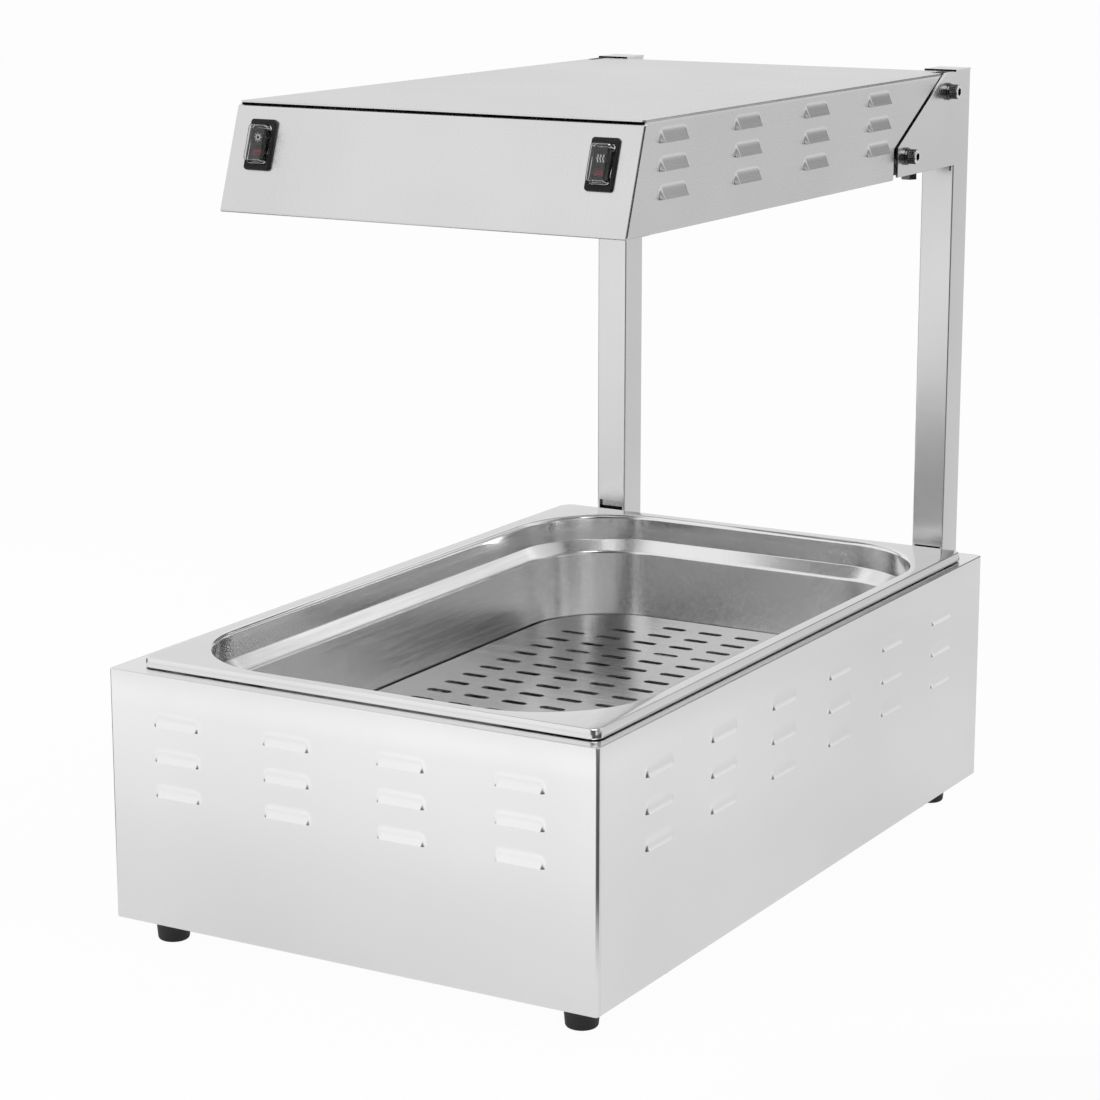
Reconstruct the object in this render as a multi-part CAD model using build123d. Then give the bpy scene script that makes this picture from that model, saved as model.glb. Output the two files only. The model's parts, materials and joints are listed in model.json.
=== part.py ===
from build123d import *
import os
from math import cos, radians, sin, tan

# Heated chip scuttle: a louvred casing with a lift-out pan, and a heat canopy carried by two rear posts.
# Millimetres. +Z is up, +X is the right-hand side seen from the front and +Y points to the back.
# The origin is on the table, under the middle of the whole object.

# Pan, a full-size gastronorm container with a turned-down rim
PAN_W = 325.0
PAN_L = 530.0
PAN_DEPTH = 100.0
PAN_WALL = 1.0
RIM_H = 6.5
RIM_EDGE_R = 2.5
RIM_CORNER_R = 7.0
FLANGE_W = 10.5
PAN_CORNER_R = 75.0
LIP = 3.0
STEP_DEPTH = 19.0
STEP_H = 8.0
STEP_IN = 7.0
WALL_TAPER = 3.5
FLOOR_R = 12.0
SEAT_GAP = 0.2

# Drain plate that stands in the pan
DRAIN_DEPTH = 74.0
DRAIN_T = 1.0
DRAIN_GAP = 2.5
DRAIN_EDGE = 5.0
DRAIN_LEG_R = 7.0
DRAIN_LEG_IN = 60.0
SLOT_L = 19.0
SLOT_W = 6.5
SLOT_END_X = 36.0
SLOT_END_Y = 24.0
SLOT_COLUMNS = 8
SLOT_ROWS = 20
SLOT_CORNER = 2

# Casing round the pan
MARGIN_LEFT = 16.5
MARGIN_RIGHT = 6.5
MARGIN_FRONT = 11.0
MARGIN_REAR = 21.0
UNDER_PAN = 67.7
SHEET = 1.0
REAR_BEND_R = 4.0
FRONT_BEND_R = 0.8
FOLD_W = 12.0
WELL_GAP = 2.5
WELL_LIP = 8.0
FOLD_PLAY = 0.5

# Feet
FOOT_H = 18.0
FOOT_R_TOP = 11.5
FOOT_R_BOTTOM = 10.0
FOOT_EDGE_R = 2.0
FOOT_INSET_X = 25.0
FOOT_INSET_Y = 26.0
STUD_R = 3.0
STUD_SUNK = 9.0
NUT_AF = 10.0
NUT_H = 5.0
HOLE_PLAY = 0.2
FIT_PLAY = 0.05

# Louvres, pressed outwards and open along the lower edge
LOUVRE_L = 36.0
LOUVRE_OUT = 4.5
LOUVRE_RISE = 10.0
LOUVRE_LIP = 3.5
FRONT_COLUMNS = 4
FRONT_END = 51.6
SIDE_COLUMNS = 6
SIDE_END = 73.5
CASE_ROWS = 3
CASE_ROW_Z = 84.5
CASE_ROW_PITCH = 22.6
CANOPY_COLUMNS = 4
CANOPY_END_FRONT = 57.5
CANOPY_END_REAR = 26.65
CANOPY_ROWS = 3
CANOPY_ROW_Z = 19.0
CANOPY_ROW_PITCH = 16.5

# Posts and their gussets, folded from one sheet each
GANTRY_W = 286.0
POST_W = 24.0
POST_D = 26.0
POST_T = 1.5
POST_LIP = 6.0
POST_DROP = 150.0
ROOF_OVER_POST = 0.2
CAP_T = 1.2
CAP_PLUG = 6.0
STRIP_T = 1.0
GUSSET_REACH = 96.0
GUSSET_NOSE = 20.0
GUSSET_TOP_RUN = 17.7
GUSSET_GAP = 7.25
GUSSET_LIFT = 1.5
RELIEF_H = 4.0
RELIEF_W = 1.0
WINDOW_UP = 8.0
WINDOW_DOWN = 40.0
POST_BOLT_LOW = 110.0
POST_BOLT_HIGH = 58.0
POST_BOLT_L = 12.0

# Canopy
CANOPY_CLEAR = 276.0
CANOPY_H = 67.0
CANOPY_SETBACK = 84.5
CANOPY_LEAN = 19.0
CANOPY_T = 1.2
CANOPY_FOLD = 12.0
CANOPY_SHELF = 28.0
CANOPY_BEND_R = 1.4
CANOPY_REAR_GAP = 4.0
HANGER_T = 2.0
HANGER_FLANGE = 15.0
HANGER_OVERLAP = 40.0
SPACER_L = 8.0
SPACER_R = 6.0
SCREW_R = 3.0
HEAD_R = 5.0
HEAD_H = 6.0
SOCKET_AF = 5.0
SOCKET_DEPTH = 3.0
WASHER_R = 6.0
WASHER_T = 1.6
SPRING_R = 5.2
SPRING_T = 1.6
SPRING_SLIT = 1.2
SCREW_TAIL = 1.5
UPPER_SCREW_Y = 15.0
UPPER_SCREW_Z = 54.0
LOWER_SCREW_Y = 84.0
LOWER_SCREW_Z = 15.0
HEX_AF = 10.0
HEX_H = 4.0
HEX_BOLT_Y = 34.0

# Heat side of the canopy
REFLECTOR_T = 1.0
REFLECTOR_RISE = 42.0
REFLECTOR_FLANGE = 20.0
REFLECTOR_SPLAY = 22.0
REFLECTOR_REAR = 14.0
REFLECTOR_FRONT = 2.0
TUBE_R = 6.0
TUBE_X = 52.0
TUBE_UP = 20.0
TUBE_INSET = 34.0
SOCKET_W = 24.0
SOCKET_T = 14.0
SOCKET_DROP = 9.0
WIRE_R = 1.25
WIRE_COLUMNS = 11
WIRE_ROWS = 8
WIRE_EDGE = 3.0
BAR_W = 4.0

# Rocker switches on the canopy front
SWITCH_IN = 22.5
SWITCH_UP = 43.5
BEZEL_W = 18.8
BEZEL_H = 32.0
BEZEL_T = 2.2
BEZEL_R = 2.0
BODY_W = 15.2
BODY_H = 27.0
BODY_DEPTH = 17.0
ROCKER_W = 11.0
ROCKER_H = 19.6
ROCKER_TOP = 4.0
ROCKER_DROP = 3.0
ROCKER_TILT = 7.0
ROCKER_PLAY = 0.35
PIVOT_R = 1.2
PIVOT_L = 1.3
COVER_T = 0.8
COVER_SIDE = 0.9
COVER_H = 5.6
BLADE_W = 4.8
BLADE_T = 0.8
BLADE_L = 7.0
BLADE_PITCH = 8.0

# Heater and wiring under the pan
ELEMENT_R = 4.0
ELEMENT_DROP = 20.0
ELEMENT_TURN_R = 34.0
ELEMENT_END = 75.0
ELEMENT_PIN_R = 2.0
ELEMENT_PIN_L = 14.0
TRAY_T = 0.8
TRAY_DROP = 16.0
TRAY_INSET = 26.0
CLIP_W = 18.0
CLIP_T = 5.0
CLIP_OVER = 4.0
CLIP_IN = 90.0
CUTOUT_R = 8.0
CUTOUT_H = 10.0
CUTOUT_EAR = 12.0
CUTOUT_EAR_T = 1.0
BLOCK_L = 42.0
BLOCK_W = 20.0
BLOCK_H = 16.0
BLOCK_IN = 10.0
BLOCK_WAYS = 3
BLOCK_HOLE_R = 2.2
GLAND_R = 10.0
GLAND_BORE_R = 4.5
GLAND_AF = 24.0
GLAND_HEX_H = 5.0
GLAND_NOSE = 12.0
GLAND_NOSE_R = 7.5
GLAND_X = -62.0
GLAND_UP = 28.0
LOCKNUT_AF = 27.0
LOCKNUT_H = 4.0
GROMMET_R = 8.0
GROMMET_BORE_R = 5.0
GROMMET_LIP = 2.0
GROMMET_LIP_T = 1.5
GROMMET_Z = 30.0
BASE_SCREW_R = 2.0
BASE_SCREW_HEAD_R = 3.8
BASE_SCREW_HEAD_H = 2.2
BASE_SCREW_L = 6.0
BASE_SCREW_IN = 90.0

# Places worked out from the sizes above
CASE_W = PAN_W + MARGIN_LEFT + MARGIN_RIGHT
CASE_D = PAN_L + MARGIN_FRONT + MARGIN_REAR
CASE_H = UNDER_PAN + PAN_DEPTH + PAN_WALL - RIM_H - SEAT_GAP
OVERALL_D = LOUVRE_OUT + CASE_D + POST_D
FRONT_Y = LOUVRE_OUT - OVERALL_D / 2
REAR_Y = FRONT_Y + CASE_D
SIDE_X = CASE_W / 2
INNER_X = SIDE_X - SHEET
INNER_FRONT_Y = FRONT_Y + SHEET
INNER_REAR_Y = REAR_Y - SHEET
BASE_Z = FOOT_H
DECK_Z = BASE_Z + CASE_H
FLOOR_TOP_Z = BASE_Z + SHEET
GLAND_Z = BASE_Z + GLAND_UP
TOP_FOLD = MARGIN_RIGHT + FLANGE_W - PAN_WALL - WELL_GAP - SHEET - FOLD_PLAY

PAN_X = (MARGIN_LEFT - MARGIN_RIGHT) / 2
PAN_Y = FRONT_Y + MARGIN_FRONT + PAN_L / 2
RIM_Z = DECK_Z + SEAT_GAP + RIM_H
OPEN_W = PAN_W - 2 * FLANGE_W
OPEN_L = PAN_L - 2 * FLANGE_W
PAN_FLOOR_Z = RIM_Z - PAN_DEPTH
PAN_UNDER_Z = PAN_FLOOR_Z - PAN_WALL
DRAIN_Z = RIM_Z - DRAIN_DEPTH

GANTRY_X = GANTRY_W / 2
POST_IN_X = GANTRY_X - POST_W
POST_REAR_Y = REAR_Y + POST_D
POST_LOW_Z = DECK_Z - POST_DROP
CANOPY_Z = DECK_Z + CANOPY_CLEAR
CANOPY_TOP_Z = CANOPY_Z + CANOPY_H
POST_TOP_Z = CANOPY_TOP_Z - ROOF_OVER_POST
GUSSET_Z = CANOPY_Z + GUSSET_LIFT
GUSSET_Y = REAR_Y - GUSSET_REACH
GUSSET_TOP_Y = REAR_Y - GUSSET_TOP_RUN

LEAN = tan(radians(CANOPY_LEAN))
LEAN_RUN = CANOPY_T / cos(radians(CANOPY_LEAN))
CANOPY_Y = FRONT_Y + CANOPY_SETBACK
CANOPY_TOP_Y = CANOPY_Y + CANOPY_H * LEAN
CANOPY_REAR_Y = REAR_Y - CANOPY_REAR_GAP
CANOPY_IN_X = GANTRY_X - CANOPY_T
SWITCH_X = GANTRY_X - SWITCH_IN
CANOPY_ROOF_Z = CANOPY_TOP_Z - CANOPY_T
HANGER_X = GANTRY_X - POST_T - SPACER_L
HANGER_IN_X = HANGER_X - HANGER_T
HANGER_Z = CANOPY_Z + CANOPY_T
HANGER_Y = GUSSET_Y - HANGER_OVERLAP
HANGER_REAR_Y = CANOPY_REAR_Y - CANOPY_T
SCREW_PLACES = [
    (REAR_Y - UPPER_SCREW_Y, CANOPY_Z + UPPER_SCREW_Z),
    (REAR_Y - LOWER_SCREW_Y, CANOPY_Z + LOWER_SCREW_Z),
]
HEX_X = HANGER_IN_X - HANGER_FLANGE / 2
HEX_Y = REAR_Y - HEX_BOLT_Y

FLANGE_Z = HANGER_Z + HANGER_T
FLANGE_TOP_Z = FLANGE_Z + REFLECTOR_T
TROUGH_X = HANGER_IN_X - REFLECTOR_FLANGE
TROUGH_TOP_Z = FLANGE_Z + REFLECTOR_RISE
SHELF_Y = CANOPY_Y + LEAN_RUN + CANOPY_SHELF
REFLECTOR_Y0 = CANOPY_Y + LEAN_RUN + (TROUGH_TOP_Z - CANOPY_Z) * LEAN + REFLECTOR_FRONT
REFLECTOR_Y1 = HANGER_REAR_Y - REFLECTOR_REAR
TUBE_Z = FLANGE_Z + TUBE_UP

ELEMENT_Z = PAN_UNDER_Z - ELEMENT_DROP
TRAY_Z = ELEMENT_Z - TRAY_DROP
ELEMENT_Y0 = PAN_Y - PAN_L / 2 + ELEMENT_END
ELEMENT_Y1 = PAN_Y + PAN_L / 2 - ELEMENT_END
ELEMENT_X = [PAN_X + ELEMENT_TURN_R * k for k in (-3, -1, 1, 3)]
MIRROR = (-1, 1)


def block(x0, x1, y0, y1, z0, z1):
    """Box between two corners."""
    middle = Pos((x0 + x1) / 2, (y0 + y1) / 2, (z0 + z1) / 2)
    return middle * Box(x1 - x0, y1 - y0, z1 - z0)


def slab_x(points, x0, x1):
    """Closed outline of (y, z) points carried from x0 to x1."""
    face = Plane.YZ * make_face(Polyline(*points, close=True))
    return Pos(x0, 0, 0) * extrude(face, x1 - x0, dir=(1, 0, 0))


def slab_y(points, y0, y1):
    """Closed outline of (x, z) points carried from y0 to y1."""
    corners = [(x, y0, z) for x, z in points]
    return extrude(make_face(Polyline(*corners, close=True)), y1 - y0, dir=(0, 1, 0))


def rod(radius, start, end):
    """Round bar between two points on a line along one axis."""
    axis = Vector(*end) - Vector(*start)
    return extrude(Plane(start, z_dir=axis) * Circle(radius), axis.length)


def hex_prism(across_flats, height):
    """Hexagon standing on the XY plane."""
    return extrude(RegularPolygon(across_flats / 2, 6, major_radius=False), height)


def ring(outer_r, inner_r, height):
    """Plain ring standing on the XY plane."""
    return extrude(Circle(outer_r) - Circle(inner_r), height)


def rounded(width, length, radius, z0, z1):
    """Upright block with rounded corners, centred on the origin."""
    return Pos(0, 0, z0) * extrude(RectangleRounded(width, length, radius), z1 - z0)


def case_outline(inset, y0, z0, z1):
    """Casing plan inside its outer faces, with the two rear corners rounded as the sheet is bent."""
    x = SIDE_X - inset
    body = block(-x, x, y0, REAR_Y - inset, z0, z1)
    rear = body.edges().filter_by(Axis.Z).sort_by(Axis.Y)[-2:]
    return fillet(rear, REAR_BEND_R - inset)


def slab_z(points, z0, z1):
    """Closed outline of (x, y) points carried from z0 to z1."""
    return Pos(0, 0, z0) * extrude(make_face(Polyline(*points, close=True)), z1 - z0)


def quarter(facets):
    """Points on a quarter circle of radius one, from the first axis to the second."""
    turns = [radians(90 * k / facets) for k in range(facets + 1)]
    return [(cos(turn), sin(turn)) for turn in turns]


def dome(out, rise, straight):
    """Solid under a louvre in flat facets: a quarter ellipse along X with both ends rounded off."""
    half = straight / 2
    section = [(-out * c, rise * s) for c, s in quarter(3)]
    right = [(half + out * c, s) for c, s in quarter(2)]
    left = [(-x, s) for x, s in reversed(right)]
    body = slab_x(section + [(0, 0)], -half - out, half + out)
    plan = slab_z([(x, -out * s) for x, s in right + left], 0, rise)
    front = slab_y([(x, rise * s) for x, s in right + left], -out, 0)
    return body & plan & front


def louvre(sheet):
    """Hood of one louvre and the slot behind it, along X and facing -Y, with its lower edge at z = 0."""
    straight = LOUVRE_L - 2 * LOUVRE_OUT
    outside = dome(LOUVRE_OUT, LOUVRE_RISE, straight)
    inside = dome(LOUVRE_OUT - sheet, LOUVRE_RISE - sheet, straight)
    slot = block(-straight / 2, straight / 2, 0, sheet, 0, LOUVRE_RISE - LOUVRE_LIP)
    return outside - inside, slot


def louvred(panel, places, sheet):
    """Opens the slots in a panel and sets the hoods over them."""
    hood, slot = louvre(sheet)
    opened = panel - [place * slot for place in places]
    return opened + [place * hood for place in places]


def centred(count, pitch):
    """Evenly spaced positions about zero."""
    return [(k - (count - 1) / 2) * pitch for k in range(count)]


def spread(count, first, last):
    """Evenly spaced positions from the first to the last."""
    return [first + (last - first) * k / (count - 1) for k in range(count)]


def case_rows():
    """Heights of the lower edges of the casing's louvres."""
    return [BASE_Z + CASE_ROW_Z + k * CASE_ROW_PITCH for k in range(CASE_ROWS)]


def post_bolt_places():
    """(x, z) of the bolts that hold both posts to the casing's back."""
    heights = (DECK_Z - POST_BOLT_LOW, DECK_Z - POST_BOLT_HIGH)
    middle = GANTRY_X - POST_W / 2
    return [(side * middle, z) for side in MIRROR for z in heights]


def foot_places():
    """(x, y) of the four feet."""
    x = SIDE_X - FOOT_INSET_X
    return [(side * x, y) for side in MIRROR for y in (FRONT_Y + FOOT_INSET_Y, REAR_Y - FOOT_INSET_Y)]


def base_screw_places():
    """(x, y) of the screws up through the base plate into the casing's side folds."""
    x = SIDE_X - FOLD_W / 2
    return [(side * x, y) for side in MIRROR for y in (FRONT_Y + BASE_SCREW_IN, REAR_Y - BASE_SCREW_IN)]


def front_panel():
    """Louvred front with a fold under the deck and one over the base plate."""
    face = block(-SIDE_X, SIDE_X, FRONT_Y, INNER_FRONT_Y, BASE_Z, DECK_Z)
    fold_x = SIDE_X - FOLD_W
    low = block(-fold_x, fold_x, INNER_FRONT_Y, FRONT_Y + FOLD_W, FLOOR_TOP_Z, FLOOR_TOP_Z + SHEET)
    deck_under = DECK_Z - SHEET
    high_x = SIDE_X - TOP_FOLD
    high = block(-high_x, high_x, INNER_FRONT_Y, FRONT_Y + TOP_FOLD, deck_under - SHEET, deck_under)
    columns = spread(FRONT_COLUMNS, FRONT_END - SIDE_X, SIDE_X - FRONT_END)
    places = [Pos(x, FRONT_Y, z) for x in columns for z in case_rows()]
    return louvred(face + low + high, places, SHEET)


def casing_wrap():
    """Both sides and the back in one bent sheet, with folds for the front, the deck and the base plate."""
    outside = case_outline(0, INNER_FRONT_Y, BASE_Z, DECK_Z)
    front = outside.edges().filter_by(Axis.Z).sort_by(Axis.Y)[:2]
    outside = fillet(front, FRONT_BEND_R)
    hollow = case_outline(SHEET, INNER_FRONT_Y + SHEET, BASE_Z, DECK_Z)
    fold_x = SIDE_X - FOLD_W
    mouth = block(-fold_x, fold_x, FRONT_Y, INNER_FRONT_Y + SHEET, BASE_Z, DECK_Z)
    wrap = outside - hollow - mouth
    for z, fold in ((FLOOR_TOP_Z, FOLD_W), (DECK_Z - 2 * SHEET, TOP_FOLD)):
        frame = case_outline(SHEET, INNER_FRONT_Y + SHEET, z, z + SHEET)
        wrap += frame - block(fold - SIDE_X, SIDE_X - fold, FRONT_Y, REAR_Y - fold, z, z + SHEET)
    deck_bed = block(-INNER_X, INNER_X, FRONT_Y, INNER_FRONT_Y + SHEET, DECK_Z - SHEET, DECK_Z)
    plate_bed = block(-INNER_X, INNER_X, FRONT_Y, INNER_FRONT_Y + SHEET, BASE_Z, FLOOR_TOP_Z)
    holes = [rod(STUD_R + HOLE_PLAY, (x, INNER_REAR_Y, z), (x, REAR_Y, z)) for x, z in post_bolt_places()]
    holes += [
        rod(GLAND_R + HOLE_PLAY, (GLAND_X, INNER_REAR_Y, GLAND_Z), (GLAND_X, REAR_Y, GLAND_Z)),
        rod(GROMMET_R + FIT_PLAY, grommet_place(INNER_REAR_Y), grommet_place(REAR_Y)),
    ]
    holes += [
        rod(BASE_SCREW_R + FIT_PLAY, (x, y, FLOOR_TOP_Z), (x, y, FLOOR_TOP_Z + SHEET))
        for x, y in base_screw_places()
    ]
    wrap = wrap - [deck_bed, plate_bed] - holes
    places = []
    for side in MIRROR:
        for y in spread(SIDE_COLUMNS, FRONT_Y + SIDE_END, REAR_Y - SIDE_END):
            places += [Pos(side * SIDE_X, y, z) * Rot(0, 0, side * 90) for z in case_rows()]
    return louvred(wrap, places, SHEET)


def grommet_place(y):
    """Point on the axis of the wire hole between the casing and the left post."""
    return (-(GANTRY_X - POST_W / 2), y, DECK_Z - GROMMET_Z)


def deck():
    """Flat top of the casing with the well for the pan, its edge folded down."""
    plate = case_outline(SHEET, INNER_FRONT_Y, DECK_Z - SHEET, DECK_Z)
    width = OPEN_W + 2 * (PAN_WALL + WELL_GAP)
    length = OPEN_L + 2 * (PAN_WALL + WELL_GAP)
    radius = PAN_CORNER_R + PAN_WALL + WELL_GAP
    well = Pos(PAN_X, PAN_Y, 0)
    lip_z = DECK_Z - WELL_LIP
    outer = rounded(width + 2 * SHEET, length + 2 * SHEET, radius + SHEET, lip_z, DECK_Z - SHEET)
    opening = rounded(width, length, radius, lip_z, DECK_Z)
    return plate + well * outer - well * opening


def base_plate():
    """Flat bottom plate that the feet and the tray stand on."""
    plate = case_outline(SHEET, INNER_FRONT_Y, BASE_Z, FLOOR_TOP_Z)
    holes = [rod(STUD_R + HOLE_PLAY, (x, y, BASE_Z), (x, y, FLOOR_TOP_Z)) for x, y in foot_places()]
    holes += [
        rod(BASE_SCREW_R + FIT_PLAY, (x, y, BASE_Z), (x, y, FLOOR_TOP_Z)) for x, y in base_screw_places()
    ]
    return plate - holes


def base_screws():
    """Pan-head screws under the base plate."""
    screw = Pos(0, 0, -BASE_SCREW_HEAD_H) * Cylinder(
        BASE_SCREW_HEAD_R, BASE_SCREW_HEAD_H, align=(Align.CENTER, Align.CENTER, Align.MIN)
    )
    rim = screw.edges().filter_by(GeomType.CIRCLE).sort_by(Axis.Z)[:1]
    screw = fillet(rim, BASE_SCREW_HEAD_H / 2)
    screw += rod(BASE_SCREW_R, (0, 0, 0), (0, 0, BASE_SCREW_L))
    return Compound([Pos(x, y, BASE_Z) * screw for x, y in base_screw_places()])


def rubber_feet():
    """Tapered feet with a blind hole for the stud."""
    foot = Cone(FOOT_R_BOTTOM, FOOT_R_TOP, FOOT_H, align=(Align.CENTER, Align.CENTER, Align.MIN))
    foot = fillet(foot.edges().filter_by(GeomType.CIRCLE).sort_by(Axis.Z)[:1], FOOT_EDGE_R)
    foot -= rod(STUD_R + FIT_PLAY, (0, 0, FOOT_H - STUD_SUNK), (0, 0, FOOT_H))
    return Compound([Pos(x, y, 0) * foot for x, y in foot_places()])


def foot_studs():
    """Threaded studs that hold the feet to the base plate."""
    low = FOOT_H - STUD_SUNK
    stud = rod(STUD_R, (0, 0, low), (0, 0, FLOOR_TOP_Z + NUT_H + SCREW_TAIL))
    return Compound([Pos(x, y, 0) * stud for x, y in foot_places()])


def nut():
    """Hexagon nut standing on the XY plane."""
    return hex_prism(NUT_AF, NUT_H) - rod(STUD_R + FIT_PLAY, (0, 0, 0), (0, 0, NUT_H))


def foot_nuts():
    """Nuts on the foot studs, inside the casing."""
    return Compound([Pos(x, y, FLOOR_TOP_Z) * nut() for x, y in foot_places()])


def inset_at(depth):
    """How far the pan's inner wall lies inside its opening at a depth below the rim."""
    below_step = depth - STEP_DEPTH - STEP_H
    return STEP_IN + WALL_TAPER * below_step / (PAN_DEPTH - STEP_DEPTH - STEP_H)


def pan_section(inset, z):
    """Rounded rectangle of the pan at one height."""
    outline = RectangleRounded(OPEN_W - 2 * inset, OPEN_L - 2 * inset, PAN_CORNER_R - inset)
    return Pos(PAN_X, PAN_Y, z) * outline


def pan_hollow(grow, top_z):
    """Inside of the pan grown outwards by a wall: band, stacking step, tapering wall and round floor."""
    floor_z = PAN_FLOOR_Z - grow
    step_z = RIM_Z - STEP_DEPTH
    low_z = step_z - STEP_H
    band = loft([pan_section(-grow, top_z), pan_section(-grow, step_z)], ruled=True)
    step = loft([pan_section(-grow, step_z), pan_section(STEP_IN - grow, low_z)], ruled=True)
    well = loft(
        [pan_section(STEP_IN - grow, low_z), pan_section(inset_at(PAN_DEPTH) - grow, floor_z)], ruled=True
    )
    well = fillet(well.faces().sort_by(Axis.Z)[0].edges(), FLOOR_R + grow)
    return band + step + well


def gn_pan():
    """Pan with a flat flange, a turned-down rim, a stacking step and a rounded floor."""
    place = Pos(PAN_X, PAN_Y, 0)
    skirt_z = RIM_Z - RIM_H
    shell = rounded(PAN_W, PAN_L, RIM_CORNER_R, skirt_z, RIM_Z)
    shell = fillet(shell.faces().sort_by(Axis.Z)[-1].edges(), RIM_EDGE_R)
    inside = rounded(
        PAN_W - 2 * PAN_WALL, PAN_L - 2 * PAN_WALL, RIM_CORNER_R - PAN_WALL, skirt_z, RIM_Z - PAN_WALL
    )
    inside = fillet(inside.faces().sort_by(Axis.Z)[-1].edges(), RIM_EDGE_R - PAN_WALL)
    outer = pan_hollow(PAN_WALL, RIM_Z - PAN_WALL)
    inner = pan_hollow(0, RIM_Z)
    under_z = RIM_Z - PAN_WALL
    lip = loft([pan_section(-PAN_WALL, under_z - LIP), pan_section(-PAN_WALL - LIP, under_z)], ruled=True)
    flare = loft([pan_section(0, RIM_Z - LIP), pan_section(-LIP, RIM_Z)], ruled=True)
    return place * (shell - inside) + outer + lip - inner - flare


def drain_plate():
    """Slotted false bottom on short legs, with its edge turned down."""
    inset = inset_at(DRAIN_DEPTH) + DRAIN_GAP
    width = OPEN_W - 2 * inset
    length = OPEN_L - 2 * inset
    radius = PAN_CORNER_R - inset
    low_z = DRAIN_Z - DRAIN_EDGE
    tray = rounded(width, length, radius, low_z, DRAIN_Z)
    tray -= rounded(width - 2 * DRAIN_T, length - 2 * DRAIN_T, radius - DRAIN_T, low_z, DRAIN_Z - DRAIN_T)
    pitch_x = (width - 2 * SLOT_END_X) / (SLOT_COLUMNS - 1)
    pitch_y = (length - 2 * SLOT_END_Y) / (SLOT_ROWS - 1)
    last_x, last_y = SLOT_COLUMNS - 1, SLOT_ROWS - 1
    spots = [
        Pos((i - last_x / 2) * pitch_x, (j - last_y / 2) * pitch_y)
        for i in range(SLOT_COLUMNS)
        for j in range(SLOT_ROWS)
        if min(i, last_x - i) + min(j, last_y - j) >= SLOT_CORNER
    ]
    slots = Sketch() + [spot * SlotOverall(SLOT_L, SLOT_W) for spot in spots]
    tray -= Pos(0, 0, DRAIN_Z - DRAIN_T) * extrude(slots, DRAIN_T)
    leg_x = width / 2 - DRAIN_LEG_IN
    leg_y = length / 2 - DRAIN_LEG_IN
    foot_z = PAN_FLOOR_Z + SEAT_GAP
    legs = [
        rod(DRAIN_LEG_R, (x * leg_x, y * leg_y, foot_z), (x * leg_x, y * leg_y, DRAIN_Z - DRAIN_T))
        for x in MIRROR
        for y in MIRROR
    ]
    return Pos(PAN_X, PAN_Y, 0) * (tray + legs)


def element_path():
    """Centre line of the base element: four straight runs joined by three half turns."""
    x0, x1, x2, x3 = ELEMENT_X
    front, rear, z = ELEMENT_Y0 + ELEMENT_TURN_R, ELEMENT_Y1 - ELEMENT_TURN_R, ELEMENT_Z
    mid_x = PAN_X
    return Wire([
        Line((x0, ELEMENT_Y1, z), (x0, front, z)),
        ThreePointArc((x0, front, z), ((x0 + x1) / 2, ELEMENT_Y0, z), (x1, front, z)),
        Line((x1, front, z), (x1, rear, z)),
        ThreePointArc((x1, rear, z), (mid_x, ELEMENT_Y1, z), (x2, rear, z)),
        Line((x2, rear, z), (x2, front, z)),
        ThreePointArc((x2, front, z), ((x2 + x3) / 2, ELEMENT_Y0, z), (x3, front, z)),
        Line((x3, front, z), (x3, ELEMENT_Y1, z)),
    ])


def base_element():
    """Sheathed heating rod under the pan, with a terminal pin at each end."""
    path = element_path()
    start = Plane((ELEMENT_X[0], ELEMENT_Y1, ELEMENT_Z), z_dir=(0, -1, 0))
    bar = sweep(start * Circle(ELEMENT_R), path=path)
    pins = [
        rod(ELEMENT_PIN_R, (x, ELEMENT_Y1, ELEMENT_Z), (x, ELEMENT_Y1 + ELEMENT_PIN_L, ELEMENT_Z))
        for x in (ELEMENT_X[0], ELEMENT_X[-1])
    ]
    return bar + pins


def clip_places():
    """(x, y) of the clips along the straight runs of the base element."""
    return [(x, y) for x in ELEMENT_X for y in (ELEMENT_Y0 + CLIP_IN, ELEMENT_Y1 - CLIP_IN)]


def element_clips():
    """Upright clips that hold the base element above its tray."""
    half = CLIP_W / 2
    clip = block(-half, half, -CLIP_T / 2, CLIP_T / 2, TRAY_Z, ELEMENT_Z + ELEMENT_R + CLIP_OVER)
    top = clip.edges().filter_by(Axis.Y).sort_by(Axis.Z)[-2:]
    clip = fillet(top, CLIP_OVER)
    clip -= rod(ELEMENT_R + FIT_PLAY, (0, -CLIP_T / 2, ELEMENT_Z), (0, CLIP_T / 2, ELEMENT_Z))
    return Compound([Pos(x, y, 0) * clip for x, y in clip_places()])


def heat_tray():
    """Bent tray under the base element, standing on the base plate by its two folded sides."""
    x0 = PAN_X - PAN_W / 2 + TRAY_INSET
    x1 = PAN_X + PAN_W / 2 - TRAY_INSET
    y0 = PAN_Y - PAN_L / 2 + TRAY_INSET
    y1 = PAN_Y + PAN_L / 2 - TRAY_INSET
    outside = block(x0, x1, y0, y1, FLOOR_TOP_Z, TRAY_Z)
    return outside - block(x0 + TRAY_T, x1 - TRAY_T, y0, y1, FLOOR_TOP_Z, TRAY_Z - TRAY_T)


def thermal_cutout():
    """Disc cut-out on two ears, standing on the tray between two runs of the element."""
    can = rod(CUTOUT_R, (0, 0, CUTOUT_EAR_T), (0, 0, CUTOUT_H))
    can = fillet(can.edges().filter_by(GeomType.CIRCLE).sort_by(Axis.Z)[-1:], CUTOUT_EAR_T)
    ears = extrude(SlotOverall(2 * (CUTOUT_R + CUTOUT_EAR), CUTOUT_EAR), CUTOUT_EAR_T)
    return Pos(PAN_X, PAN_Y, TRAY_Z) * Rot(0, 0, 90) * (can + ears)


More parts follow.
